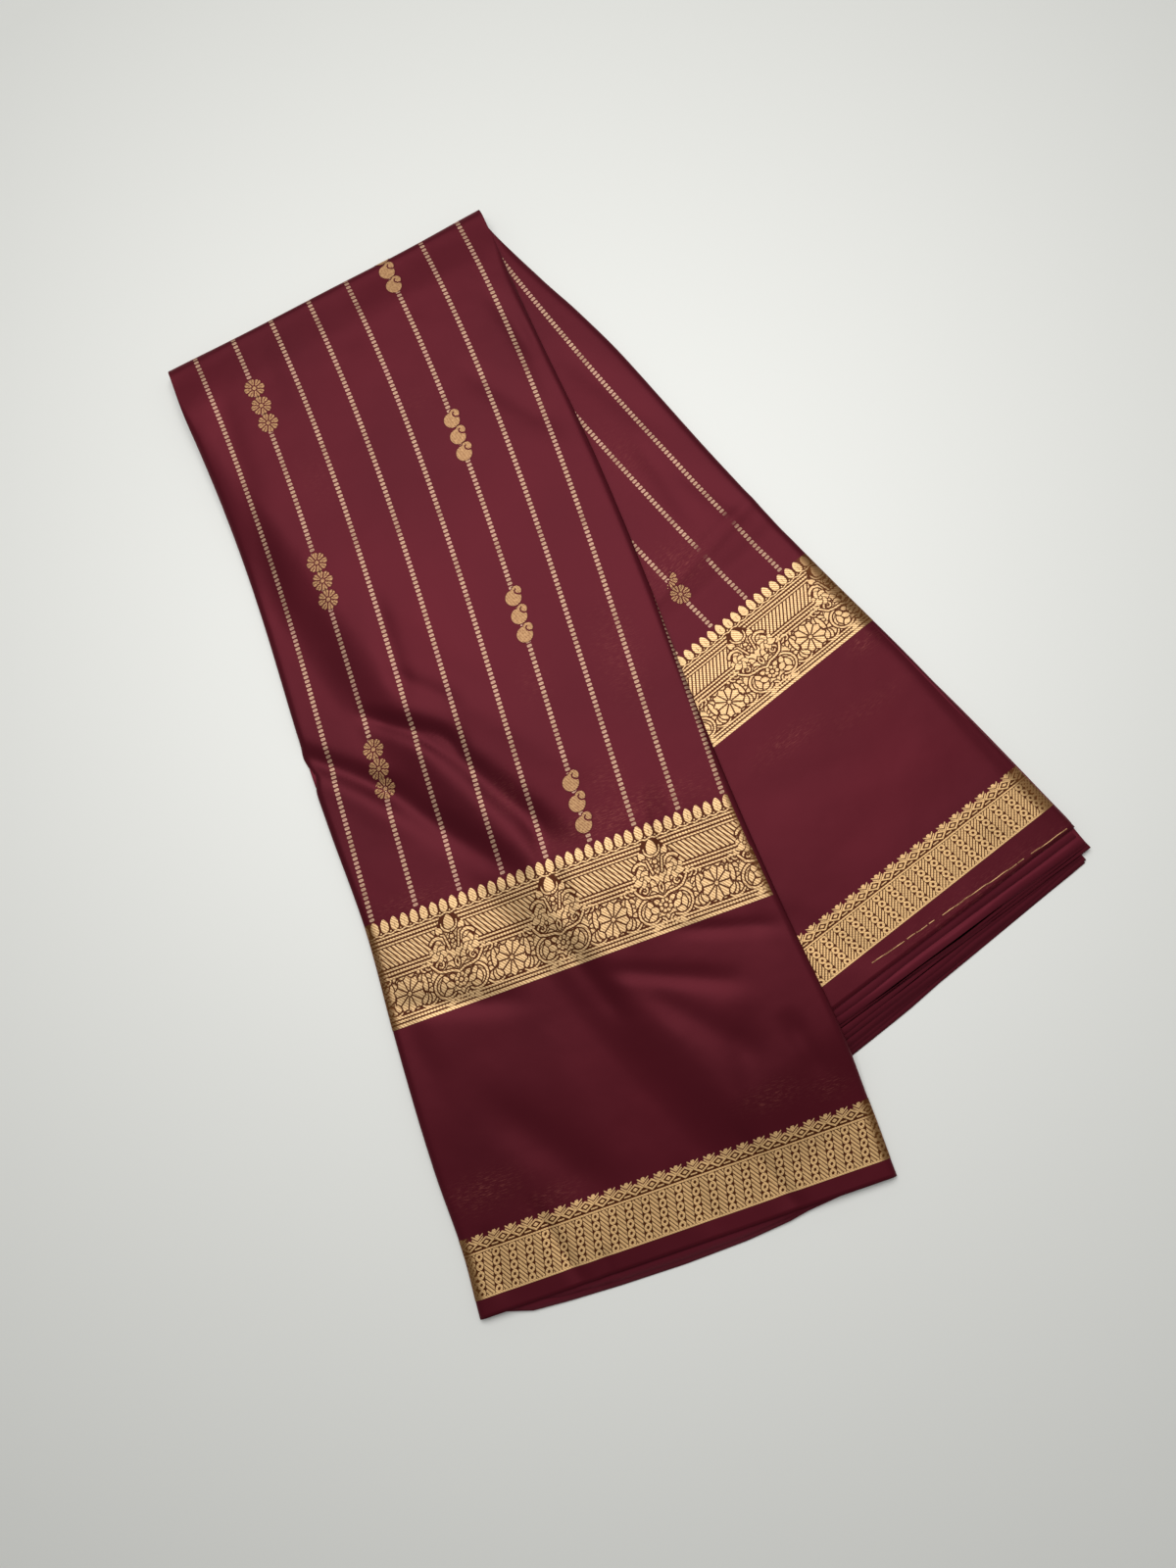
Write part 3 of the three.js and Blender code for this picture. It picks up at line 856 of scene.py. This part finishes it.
# The wide border at height b above its foot: hatching, then bouquets and rosettes by turns, small
# leaves between them, lines and beads, and the drops of the upper edge
def drawWideBorder(u, b, lean):
    outline = wideBorder["outline"]
    x = pastLine(u - wideBorder["bouquetAt"], wideBorder["repeat"])
    pitch = wideBorder["hatchPitch"]
    slant = pastLine(u + lean * (b - 39) * 0.72 - pitch / 2, pitch)
    hatch = overlap(5.6 - np.abs(b - 39.1), 0.68 - np.abs(slant) * 0.81)
    drawing = union(hatch, -0.6), np.full(np.shape(u), farOutside)
    drawing = drawBouquet(drawing, x, b, outline)
    field, covered = drawRosette(drawing, wideBorder["repeat"] / 2 - np.abs(x), b, outline)
    pitch = wideBorder["fillPitch"]
    cuts = np.abs(pastLine(b + 0.8 * np.abs(x) - pitch / 2, pitch))
    room = union(overlap(b - 7.0, 26.2 - b), behindBouquet(x, b) - 0.9)
    fill = overlap(-covered - outline * 0.95, cuts * 0.78 - 0.2, room)
    clear = np.maximum(np.abs(x) - 13.4 + np.maximum(b - 34, 0) * 0.55, 0)
    clear = np.where(b > 26, np.minimum(clear, 1.0), 1.0) - 0.2  # the bands stop at the bouquet
    lines = [goldLine(b, middle, width) for middle, width in wideBorder["lines"]]
    chains = [chain(u, b, middle, 1.75) for middle in wideBorder["chains"]]
    bands = overlap(union(*lines, *chains), clear)
    pitch = wideBorder["dropPitch"]
    drop = pastLine(u - pitch / 2, pitch)
    wave = 0.42 - np.abs(b - 51.9 + 0.35 * np.cos(2 * np.pi * u / pitch))
    knot = ball(pitch / 2 - np.abs(drop), b, 0, 53.0, 0.5)
    body = union(ball(drop, b, 0, 55.1, 2.25), leaf(drop, b, 0, 56.7, 90, 8.2, 4.5))
    body = overlap(body, union(np.abs(drop) - 0.12, np.abs(b - 55.4) - 1.5))
    return union(field, fill, bands, goldLine(b, 0.9, 1.9), wave, knot, body)


narrowBorder = {"from": 9.7, "height": 32.2, "ringPitch": 4.65, "barPitch": 2.325}


# The narrow border: columns of rings between slanting bars, then a row of diamonds and sprigs under a
# row of balls
def drawNarrowBorder(u, b, lean, pitch, ringAt):
    x = pastLine(u - ringAt, pitch)
    half = pitch / 2 - np.abs(x)  # from the axis halfway between two ring columns
    bar = np.where(x > 0, -half, half)
    r = np.hypot(x, pastLine(b - 2.4, narrowBorder["ringPitch"]) * 0.93)
    ring = overlap(2.05 - r, r - 0.8)
    barPitch = narrowBorder["barPitch"]
    tilt = pastLine(b + lean * bar * 1.1 - barPitch / 2, barPitch)
    bars = overlap(2.3 - half, 0.52 - np.abs(tilt) * 0.673)
    columns = overlap(union(ring, bars), 10.8 - np.abs(b - 11.8))
    lines = union(goldLine(b, 0.45, 0.95), goldLine(b, 23.4, 0.85))
    nest = half * 0.62 + np.abs(b - 27.3)
    dashes = overlap(0.35 - np.abs(b - 25.2), 1.9 - np.abs(x))
    rise = b - 0.75 * np.abs(x)
    sprigs = union(0.42 - np.abs(rise - 28.0), 0.42 - np.abs(rise - 29.5))
    sprigs = overlap(sprigs, 3.2 - np.abs(x))
    lattice = overlap(union(1.0 - nest, 0.52 - np.abs(nest - 2.4), dashes, sprigs), b - 24.4)
    return union(columns, lines, lattice, ball(x, b, 0, 31.3, 1.1))


# The flower of the second stripe: eight petals, each with a groove down its outer half, round an eye
def drawFlower(x, y):
    r = np.hypot(x, y)
    sector = sectorShare(x, y, 8)
    aside = r * sector * 0.39
    outer = overlap(5.9 - 1.5 * sector**3 - r, (r * 0.39 - aside) * 0.93 - 0.34)
    petals = overlap(outer, union(aside - 0.24, 2.9 - r), r - 1.75)
    return union(petals, 1.15 - r)


# The paisley of the sixth stripe: a round body whose tip curls over to the right, parted by a
# curling groove
def drawPaisley(x, y):
    body = union(ball(x, y, -0.5, -0.6, 4.3), ball(x, y, 2.1, 2.7, 2.6))
    groove = ((5.6, 0.5), (3.9, 0.3), (2.2, 0.7), (1.1, 1.8), (1.1, 3.0), (1.9, 3.7))
    return overlap(body, -stroke(x, y, groove, 0.95, 0.3))


print("figures ready")


frontCloth = {
    "thickness": 0.35,
    "width": 232,  # from which the count of columns is taken
    "step": 2.2,  # mm between two columns or rows
    "sideReach": 4.6,  # the side rolls: how far they reach in, how deep they turn, the drop below
    "sideRadius": 3.0,
    "sideDrop": 1.0,
    "shadeReach": 7.0,
    "foldWave": 0.7,
    "short": 0,  # mm that it stops short of the turn
    "turnRows": 14,  # rows over the cross fold, then rows back under it
    "tuckRows": 6,
    "tuck": 12,
}
rearCloth = {
    **frontCloth,
    "width": 222,
    "step": 2.4,
    "sideReach": 5.4,
    "sideDrop": 0.9,
    "shadeReach": 11.0,
    "short": 1,
    "turnRows": 0,
    "tuckRows": 0,
}


rollPoints = {"drop": 3, "turn": 6}  # points down the straight drop and round the turn


# Places across a sheet: down the left side roll, along the flat and up the right one. Each point is
# a share: the side (-1, 0, 1), the angle round the roll or the drop below it, and the flat's share.
def sectionPlan(width, step):
    drop = np.linspace(1, 0, rollPoints["drop"] + 1)[:-1]
    turn = np.linspace(1, 0, rollPoints["turn"] + 1)[:-1]
    flat = np.linspace(0, 1, int(width / step) + 1)
    level = 0 * flat
    roll = np.ones(len(drop) + len(turn))
    side = np.concatenate([-roll, level, roll])
    turnShare = np.concatenate([0 * drop + 1, turn, level, turn[::-1], 0 * drop + 1])
    dropShare = np.concatenate([drop, 0 * turn, level, 0 * turn, drop[::-1]])
    flatShare = np.concatenate([0 * roll, flat, roll])
    return side, turnShare, dropShare, flatShare


# u and depth of a sheet's section: on the flat, even steps between the rolls; on a roll, a quarter
# of an ellipse; below it, a straight drop
def sectionAt(left, right, roll, plan, cloth):
    side, turnShare, dropShare, flatShare = plan
    reach = cloth["sideReach"]
    most = np.pi / 2 * roll
    angle = most * turnShare
    inset = reach * (np.sin(most) - np.sin(angle))
    flat = mix(left + reach * np.sin(most), right - reach * np.sin(most), flatShare)
    u = np.where(side < 0, left + inset, np.where(side > 0, right - inset, flat))
    drop = dropShare * cloth["sideDrop"] * roll * np.sin(most)
    depth = np.where(side != 0, cloth["sideRadius"] * (1 - np.cos(angle)) + drop, 0)
    return u, depth


# The rear leg's stripes stop for a few millimetres where a crease hides them
def hiddenStripe(u, v):
    middle = np.interp(u, (150, 182, 208, 234, 250), (236, 240, 251, 258, 261))
    return np.exp(-(((v - middle) / 5.4) ** 4))


# Where the extra weft shows through the satin as faint broken lines: u, v, half widths, strength
frontFloats = (
    (178, 229, 40, 9, 1.0),
    (51, 224, 20, 5, 0.7),
    (204, 316, 12, 26, 0.5),
    (152, 316, 9, 12, 0.3),
    (175, 250, 12, 9, 0.5),
    (40, 62, 18, 8, 1.0),
    (74, 48, 14, 5, 0.8),
    (203, 60, 16, 6, 0.8),
    (232, 54, 10, 6, 0.8),
    (140, 505, 9, 9, 0.2),
    (118, 262, 9, 12, 0.4),
    (66, 480, 10, 16, 0.2),
)
rearFloats = (
    (211, 122, 24, 6, 0.35),
    (166, 133, 22, 6, 0.6),
    (214, 326, 10, 22, 0.3),
    (192, 254, 18, 12, 0.8),
    (238, 152, 9, 5, 0.9),
    (180, 3, 50, 6, 0.5),
)


def floatAmount(table, u, v):
    amount = 0 * u
    for u0, v0, wide, high, strength in table:
        blob = strength * np.exp(-(((u - u0) / wide) ** 2) - ((v - v0) / high) ** 2)
        amount = np.maximum(amount, blob)
    return amount


def foldWave(u):
    return frontCloth["foldWave"] * (np.sin(u / 17 + 0.6) * 0.5 + np.sin(u / 41 + 2.2))


# The left fold bulges a little and then gives way where the two long troughs meet it
def leftNotch(v):
    return 2.4 * np.exp(-(((v - 316) / 6) ** 2)) - 1.2 * np.exp(-(((v - 331) / 5) ** 2))


# A point of the front sheet, lifted off it: up on the flat, outwards where it rounds the fold, and
# past half a turn back underneath
def liftedFront(u, v, lift):
    radius = legShape["foldRadius"]
    start = turnStart(front, u)
    turn = np.clip((v - start) / radius, 0, np.pi)
    bulge = radius + foldWave(u) * np.sin(turn) + lift
    back = np.maximum(v - start - np.pi * radius, 0)
    x, y = place(front, u, np.where(v > start, start + bulge * np.sin(turn) - back, v))
    high = 2 * radius - foldDip(u, start)
    nose = high / 2 * (1 + np.cos(turn)) + lift * np.cos(turn)
    return np.stack([x, y, np.where(v > start, nose, frontTop(u, v) + lift)], axis=-1)


def liftedRear(u, v, lift):
    x, y = place(rear, u, v)
    return np.stack([x, y, rearTop(u, v) + lift], axis=-1)


def frontFromPattern(u, patternV):
    return patternV + 0 * u


# What belongs to each leg: its functions and its sheet, the side to which slanting lines lean, how far
# the bouquets are shifted, the narrow border's pitch and the u of a ring, and where the strips start
front.update(topOf=frontTop, lifted=liftedFront, toPattern=frontPattern, fromPattern=frontFromPattern)
front.update(lean=1, shift=0, pitch=9.35, ringAt=130.3, stripFrom=0, cloth=frontCloth)
rear.update(topOf=rearTop, lifted=liftedRear, toPattern=rearPattern, fromPattern=rearFromPattern)
rear.update(lean=-1, shift=1.6, pitch=9.14, ringAt=236.5, stripFrom=60, cloth=rearCloth)


# A leg's top sheet: rows of v from the hem to the cross fold and, on the front leg, over it and back
def makeCloth(name, leg, floats, replaced):
    cloth = leg["cloth"]
    share = np.linspace(0, 1, int(leg["reach"] / cloth["step"]) + 1)[:, None]
    level = share * leg["reach"]
    left = edgeAt(leg, "left", level) + leftNotch(level) * (leg is front)
    right = edgeAt(leg, "right", level) - drawnIn(level) * (leg is rear)
    plan = sectionPlan(cloth["width"], cloth["step"])
    u, depth = sectionAt(left, right, rollShare(leg, level), plan, cloth)
    v = share * (turnStart(leg, u) - cloth["short"])
    half = np.pi * legShape["foldRadius"]
    turn = np.linspace(0, half, cloth["turnRows"] + 1)[1:, None]
    back = half + np.linspace(0, cloth["tuck"], cloth["tuckRows"] + 1)[1:, None]
    past = turnStart(leg, u[-1:]) + np.concatenate([turn, back])
    u = np.concatenate([u, u[-1:] + 0 * past])
    v = np.concatenate([v, past])
    points = leg["lifted"](u, v, 0)
    points[: len(share), :, 2] -= depth
    points[..., 2] = np.maximum(points[..., 2], cloth["thickness"])
    depths = {"floats": floatAmount(floats, u, v)}
    if leg is rear:
        depths["hiddenStripe"] = hiddenStripe(u, v)
    woven = leg["toPattern"](u, v)
    piece = weave(name, stripedSatin, points, woven, depths, bake="sheet", thickness=cloth["thickness"])
    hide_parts(replaced)
    return piece


frontClothPiece = makeCloth("frontCloth", front, frontFloats, "front_cover")
rearClothPiece = makeCloth("rearCloth", rear, rearFloats, "rear_cover")
print("sheets made")


# The woven borders and motifs lie on the sheets as dense strips, so that their figures stay sharp
strip = {"width": 232, "step": 0.45, "lift": 0.12, "guessAt": 130}


# How far a point is down a side roll, from 0 on the flat to 1 at the fold: the share of painted shade on
# the borders' gold there
def rollShade(leg, u, v):
    reach = leg["cloth"]["shadeReach"]
    outside = np.maximum(edgeAt(leg, "left", v) + reach - u, u - edgeAt(leg, "right", v) + reach)
    return smooth(1.6 * outside / reach)


# A strip of cloth between two heights of the pattern, from one side fold to the other. Near the side
# folds its columns run round the roll by their angle, so that they stay evenly spaced.
def stripPoints(leg, low, high):
    rows = int((high - low) / strip["step"]) + 1
    pattern = np.linspace(low, high, rows)[:, None]
    plan = sectionPlan(strip["width"], strip["step"])
    v = leg["fromPattern"](strip["guessAt"], pattern)  # a first guess, near the middle of the sheet
    for _ in range(2):
        left = edgeAt(leg, "left", v)
        right = edgeAt(leg, "right", v)
        u, depth = sectionAt(left, right, rollShare(leg, v), plan, leg["cloth"])
        v = leg["fromPattern"](u, pattern)
    kept = u.min(axis=0) > leg["stripFrom"]
    u, depth, v = u[:, kept], depth[:, kept], v[:, kept]
    x, y = place(leg, u, v)
    points = np.stack([x, y, leg["topOf"](u, v) - depth], axis=-1)
    normal = np.cross(np.gradient(points, axis=1), np.gradient(points, axis=0))
    normal /= np.linalg.norm(normal, axis=-1, keepdims=True)
    points = points + normal * strip["lift"]
    points[..., 2] = np.maximum(points[..., 2], strip["lift"])
    return points, u, v


def makeBorder(name, material, leg, border, draw):
    points, u, v = stripPoints(leg, border["from"], border["from"] + border["height"])
    woven = leg["toPattern"](u, v)
    height = woven[1] - border["from"]
    depths = {
        "zari": draw(woven[0], height),
        "plainGround": smooth((height - border["height"] + 5) / 3.5),
        # painted shade on the gold down the side rolls
        "rolled": rollShade(leg, u, v),
    }
    return weave(name, material, points, woven, depths, bake="strip")


def makeBorders(side, leg):
    def wide(u, b):
        return drawWideBorder(u - leg["shift"], b, leg["lean"])

    def narrow(u, b):
        return drawNarrowBorder(u, b, leg["lean"], leg["pitch"], leg["ringAt"])

    return [
        makeBorder(side + "WideBorder", borderZari, leg, wideBorder, wide),
        makeBorder(side + "NarrowBorder", narrowZari, leg, narrowBorder, narrow),
    ]


borders = makeBorders("front", front)
rearBorders = makeBorders("rear", rear)
print("borders made")

# Motifs on the stripes: u of the stripe, then v of the highest of each group and the step between them
motifRows = {
    "flowers": {"u": 52.5, "tops": ((551, 12.4), (431, 12.0), (314, 11.7)), "count": 3, "size": 1.05},
    "paisleys": {
        "u": 156.0,
        "tops": ((604.8, 11.0), (485.8, 11.1), (368.8, 11.5), (255.4, 12.3)),
        "count": 3,
        "size": 1.1,
    },
    "rearFlowers": {"u": 182.3, "tops": ((250.5, 11.6),), "count": 2, "size": 1.0},
}


# One patch of the sheet round each figure, kept only where the figure is, and joined into one mesh.
# The first figure of a worn row shows only at its lower right.
def makeMotifs(name, leg, row, draw, worn=False):
    half = 6.8 * row["size"]
    steps = int(2 * half / strip["step"]) + 1
    local = np.linspace(-half, half, steps)
    patches, wovens, fields, keeps = [], [], [], []
    for top, apart in row["tops"]:
        for i in range(row["count"]):
            middle = top - i * apart
            u, v = np.meshgrid(row["u"] + local, middle + local)
            x = (u - row["u"]) / row["size"]
            y = (v - middle) / row["size"]
            field = draw(x, y)
            if worn and i == 0:
                field = overlap(field, (x - y - 1.5) * 0.7 + 0.8 * np.sin(x * 2.1) * np.sin(y * 1.7))
            patches.append(leg["lifted"](u, v, strip["lift"]))
            wovens.append(leg["toPattern"](u, v))
            fields.append(field)
            keeps.append((field > -0.5) & (np.arange(steps) < steps - 1)[:, None])
    depths = {"zari": np.concatenate(fields), "plainGround": 1.0, "rolled": 0.0}
    woven = np.concatenate(wovens, axis=1)
    return weave(name, motifZari, np.concatenate(patches), woven, depths, keep=np.concatenate(keeps))


flowers = makeMotifs("wovenFlowers", front, motifRows["flowers"], drawFlower)
paisleys = makeMotifs("wovenPaisleys", front, motifRows["paisleys"], drawPaisley)
rearFlowers = makeMotifs("rearFlowers", rear, motifRows["rearFlowers"], drawFlower, worn=True)
print("motifs made")

# A broken gilt thread lies along the rear hem, between these points of u and v
hemThread = {"u": (108, 215, 237), "v": (7.6, 2.6, 1.9), "width": 0.6, "step": 0.6}


def makeHemThread(look):
    steps = int((look["u"][-1] - look["u"][0]) / look["step"])
    u = np.linspace(look["u"][0], look["u"][-1], steps)[None, :] + np.zeros((3, 1))
    v = np.interp(u, look["u"], look["v"]) + 0.12 * np.sin(u / 5.3) + 0.1 * np.sin(u / 1.9)
    v = v + np.array([-0.5, 0, 0.5])[:, None] * look["width"]
    points = liftedRear(u, v, strip["lift"] * np.array([0.3, 1.6, 0.3])[:, None])
    worn = np.sin(u / 3.1) + np.sin(u / 1.17 + 1) + np.sin(u / 9.7 + 2) + 1.3 > 0
    depths = {"zari": 1.0, "plainGround": 0.0, "rolled": 0.0}
    return weave("hemThread", motifZari, points, (u, v), depths, keep=worn)


thread = makeHemThread(hemThread)
print("hem thread made")


# The hidden layers: pressed folds of cloth, each a flat tube with round sides, lowest first
frontLeaves = {
    "thickness": 0.6,
    "stack": 4.7,  # mm that the layers take up at the cross fold
    "inset": (0.9, 0.4, 1.5, 0.8, 1.7, 1.4, 2.2),  # mm inside the side fold
    "cornerInset": (0, 0, 0, 0, 0, 0, 0),
    "wander": 0.5,
    "seed": 0,
    "rows": 150,
    "flatPoints": (24, 24, 24, 24, 32, 44, 60),  # the upper leaves follow the creases closely
    "start": 2.2,
    # The two topmost leaves show past the hem, where they sag to the table: how far they reach along it
    "hemAt": (20, 32, 34.5, 36, 60, 90, 125, 160, 185, 202, 210, 250),
    "hemReach": (
        (2.2, 2.2, 1.8, -4.2, -6.0, -7.2, -7.7, -6.6, -4.2, -1.0, 1.6, 2.2),
        (2.2, 2.2, 2.2, 2.0, -2.6, -4.6, -5.2, -4.4, -2.4, 0.6, 2.2, 2.2),
    ),
}
rearLeaves = {
    "thickness": 0.52,
    "stack": 4.7,
    "inset": (0.9, 0.3, 1.2, 0.7, 1.6, 1.2, 1.9, 2.3),
    "cornerInset": (9.5, 9.0, 9.6, 8.6, 1.5, 2.0, 1.2, 2.0),  # mm in from the right fold at the hem
    "leftEdge": (-27.5, -24.0, -21.5, -17.0, -13.5, -9.5, -8.0, -3.5),
    "rightEdge": (-18.6, -17.9, -16.6, -15.2, -13.6, -12.4, -11.0, -4.5),
    "wander": 0.5,
    "seed": 5,
    "rows": 130,
    "flatPoints": (22, 22, 22, 22, 22, 22, 22, 22),
}


# Round a leaf's section: over the top from left to right, round the right side, back underneath and
# round the left side. The result is the share across and the share of the thickness, both -1 to 1.
def leafSection(flatPoints, bends=4):
    side = np.linspace(np.pi / 2, -np.pi / 2, bends + 2)[1:-1]
    flat = np.linspace(-1, 1, flatPoints)
    across = np.concatenate([flat, np.ones(bends), flat[::-1], -np.ones(bends)])
    bulge = np.concatenate([0 * flat, np.cos(side), 0 * flat, np.cos(side)])
    rise = np.concatenate([0 * flat + 1, np.sin(side), 0 * flat - 1, -np.sin(side)])
    return across, bulge, rise


# u and the share of the height of a leaf's section at each row: between the side folds, less the
# inset, with a slow wave
def leafAcross(leg, look, k, share):
    across, bulge, rise = leafSection(look["flatPoints"][k])
    level = share * leg["reach"]
    half = look["thickness"] / 2
    seed = k + look["seed"]
    wave = look["wander"] * (np.sin(level / 47 + seed * 2.1) + 0.6 * np.sin(level / 19 + seed * 3.7))
    left = edgeAt(leg, "left", level) + look["inset"][k] + half + wave
    right = edgeAt(leg, "right", level) - look["inset"][k] - half + wave * 0.7
    right = right - look["cornerInset"][k] * smooth((22 - level) / 20) - drawnIn(level) * (leg is rear)
    return mix(left, right, across * 0.5 + 0.5) + np.sign(across) * bulge * half, rise * half


# A front leaf runs from the hem to the cross fold and half a turn over it, lower leaves closer in
def frontLeaf(look, k, share):
    count = len(look["inset"])
    u, rise = leafAcross(front, look, k, share)
    start = look["start"] + 0 * u
    if k >= count - 2:
        start = np.interp(u, look["hemAt"], look["hemReach"][k - count + 2])
    fold = turnStart(front, u)
    v = mix(start, fold, share)
    bed = frontBed(u, v)
    stack = (frontTop(u, v) - 1.3 - bed) * smooth(1 + np.minimum(v, 0) / 9)
    z = np.maximum(bed + stack * (k + 0.5) / count + 0.1 + rise, 0)
    turn = np.linspace(0, np.pi, 9)[1:, None]
    fullDip = foldDip(u[-1:], fold[-1:])
    radius = 0.15 + (look["stack"] - fullDip) * (k + 0.5) / count + rise
    u = np.concatenate([u, u[-1:] + 0 * turn])
    v = np.concatenate([v, fold[-1:] + radius * np.sin(turn)])
    z = np.concatenate([z, legShape["foldRadius"] + radius * np.cos(turn)])
    x, y = place(front, u, v)
    return np.stack([x, y, z], axis=-1), np.stack([u, v], axis=-1)


# A rear leaf lies flat from its own edge past the hem to the inside of the cross fold
def rearLeaf(look, k, share):
    count = len(look["inset"])
    u, rise = leafAcross(rear, look, k, share)
    left = edgeAt(rear, "left", 0.0)
    right = edgeAt(rear, "right", 0.0)
    wobble = 0.5 * np.sin(u / 23 + k * 1.9) + 0.3 * np.sin(u / 9 + k)
    start = mix(look["leftEdge"][k], look["rightEdge"][k], (u - left) / (right - left)) + wobble
    v = mix(start, turnStart(rear, u) - 1.6, share)
    raised = 0.5 * (1 - k / count) * smooth((v - foldLine(rear, u) + 38) / 18)
    z = np.maximum(look["stack"] * (k + 0.5) / count + raised + rise, 0)
    x, y = place(rear, u, v)
    return np.stack([x, y, z], axis=-1), np.stack([u, v], axis=-1)


# Fills the open ring at each end of a leaf
def closeEnds(piece):
    shape = bmesh.new()
    shape.from_mesh(piece.data)
    bmesh.ops.holes_fill(shape, edges=[e for e in shape.edges if e.is_boundary], sides=0)
    bmesh.ops.recalc_face_normals(shape, faces=shape.faces)
    shape.to_mesh(piece.data)
    shape.free()


def makeLeaves(name, look, leafOf, replaced):
    parts = []
    share = np.linspace(0, 1, look["rows"])[:, None]
    for k in range(len(look["inset"])):
        points, woven = leafOf(look, k, share)
        part, _ = gridMesh("leaf", points, woven, layerSatinPaintedLighter, closeAcross=True)
        closeEnds(part)
        parts.append(part)
    bpy.ops.object.select_all(action="DESELECT")
    for part in parts:
        part.select_set(True)
    bpy.context.view_layer.objects.active = parts[0]
    bpy.ops.object.join()
    parts[0].name = name
    parts[0].data.name = name
    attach(parts[0], "root")
    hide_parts(replaced)
    return parts[0]


frontLayers = makeLeaves("frontLayers", frontLeaves, frontLeaf, "front_layers")
rearLayers = makeLeaves("rearLayers", rearLeaves, rearLeaf, "rear_layers")
print("layers made")

# The surface it lies on and the light: a pale table, painted darker away from the middle as painted shade,
# under soft overhead panels
stage = {
    "floorSize": 4.0,
    "middle": "#eff1ee",
    # the darker rim colour is painted shade
    "rim": "#cfd1ce",
    "paintedShadeFrom": 0.12,  # metres from the origin over which the table's colour is painted darker: painted shade where the light falls off
    "paintedShadeTo": 0.62,
    "floorRoughness": 0.4,
    "sky": "#f6f6f4",
    "skyStrength": 0.28,
}
panels = {
    "ceilingPanel": {
        "place": (-0.16, 0.56, 1.5),
        "target": (-0.03, 0.05, 0),
        "size": (1.5, 1.25),
        "power": 23.6,
        "colour": "#fffdfb",
    },
    "sidePanel": {
        "place": (1.2, 0.5, 1.0),
        "target": (0, 0, 0),
        "size": (0.8, 0.8),
        "power": 0.5,
        "colour": "#ffffff",
    },
}


def makeFloor(look):
    half = look["floorSize"] / 2
    mesh = bpy.data.meshes.new("table")
    corners = [(-half, -half), (half, -half), (half, half), (-half, half)]
    mesh.from_pydata([(x, y, -0.0002) for x, y in corners], [], [(0, 1, 2, 3)])
    material, tree = newMaterial("paleTable")
    spot = addNode(tree, "TexCoord", give="Object")
    away = addNode(tree, "VectorMath", {0: spot}, "Value", operation="LENGTH")
    # Painted shade: the table's colour turns from the middle one to the darker rim one away from the
    # origin, where the light falls off
    rim = {"Value": away, "From Min": look["paintedShadeFrom"], "From Max": look["paintedShadeTo"]}
    share = addNode(tree, "MapRange", rim)
    shades = {"Factor": share, "A": linear(look["middle"]), "B": linear(look["rim"])}
    surface = {
        "Base Color": addNode(tree, "Mix", shades, "Result", data_type="RGBA"),
        "Roughness": look["floorRoughness"],
        "Specular IOR Level": 0.3,
    }
    addNode(tree, "OutputMaterial", {"Surface": addNode(tree, "BsdfPrincipled", surface)})
    mesh.materials.append(material)
    addObject("table", mesh)


def makeLight(name, panel):
    light = bpy.data.lights.new(name, "AREA")
    light.shape = "RECTANGLE"
    light.size, light.size_y = panel["size"]
    light.energy = panel["power"]
    light.color = linear(panel["colour"])[:3]
    ahead = np.array(panel["target"]) - np.array(panel["place"])
    ahead = ahead / np.linalg.norm(ahead)
    right = np.cross(ahead, (0, 1, 0))
    aim(addObject(name, light), panel["place"], right / np.linalg.norm(right), ahead)


makeFloor(stage)
for panelName, panel in panels.items():
    makeLight(panelName, panel)
world = bpy.data.worlds.new("softRoom")
world.use_nodes = True
background = world.node_tree.nodes["Background"]
background.inputs["Color"].default_value = linear(stage["sky"])
background.inputs["Strength"].default_value = stage["skyStrength"]
bpy.context.scene.world = world
bpy.context.scene.view_settings.view_transform = "Standard"
print("stage and light made")
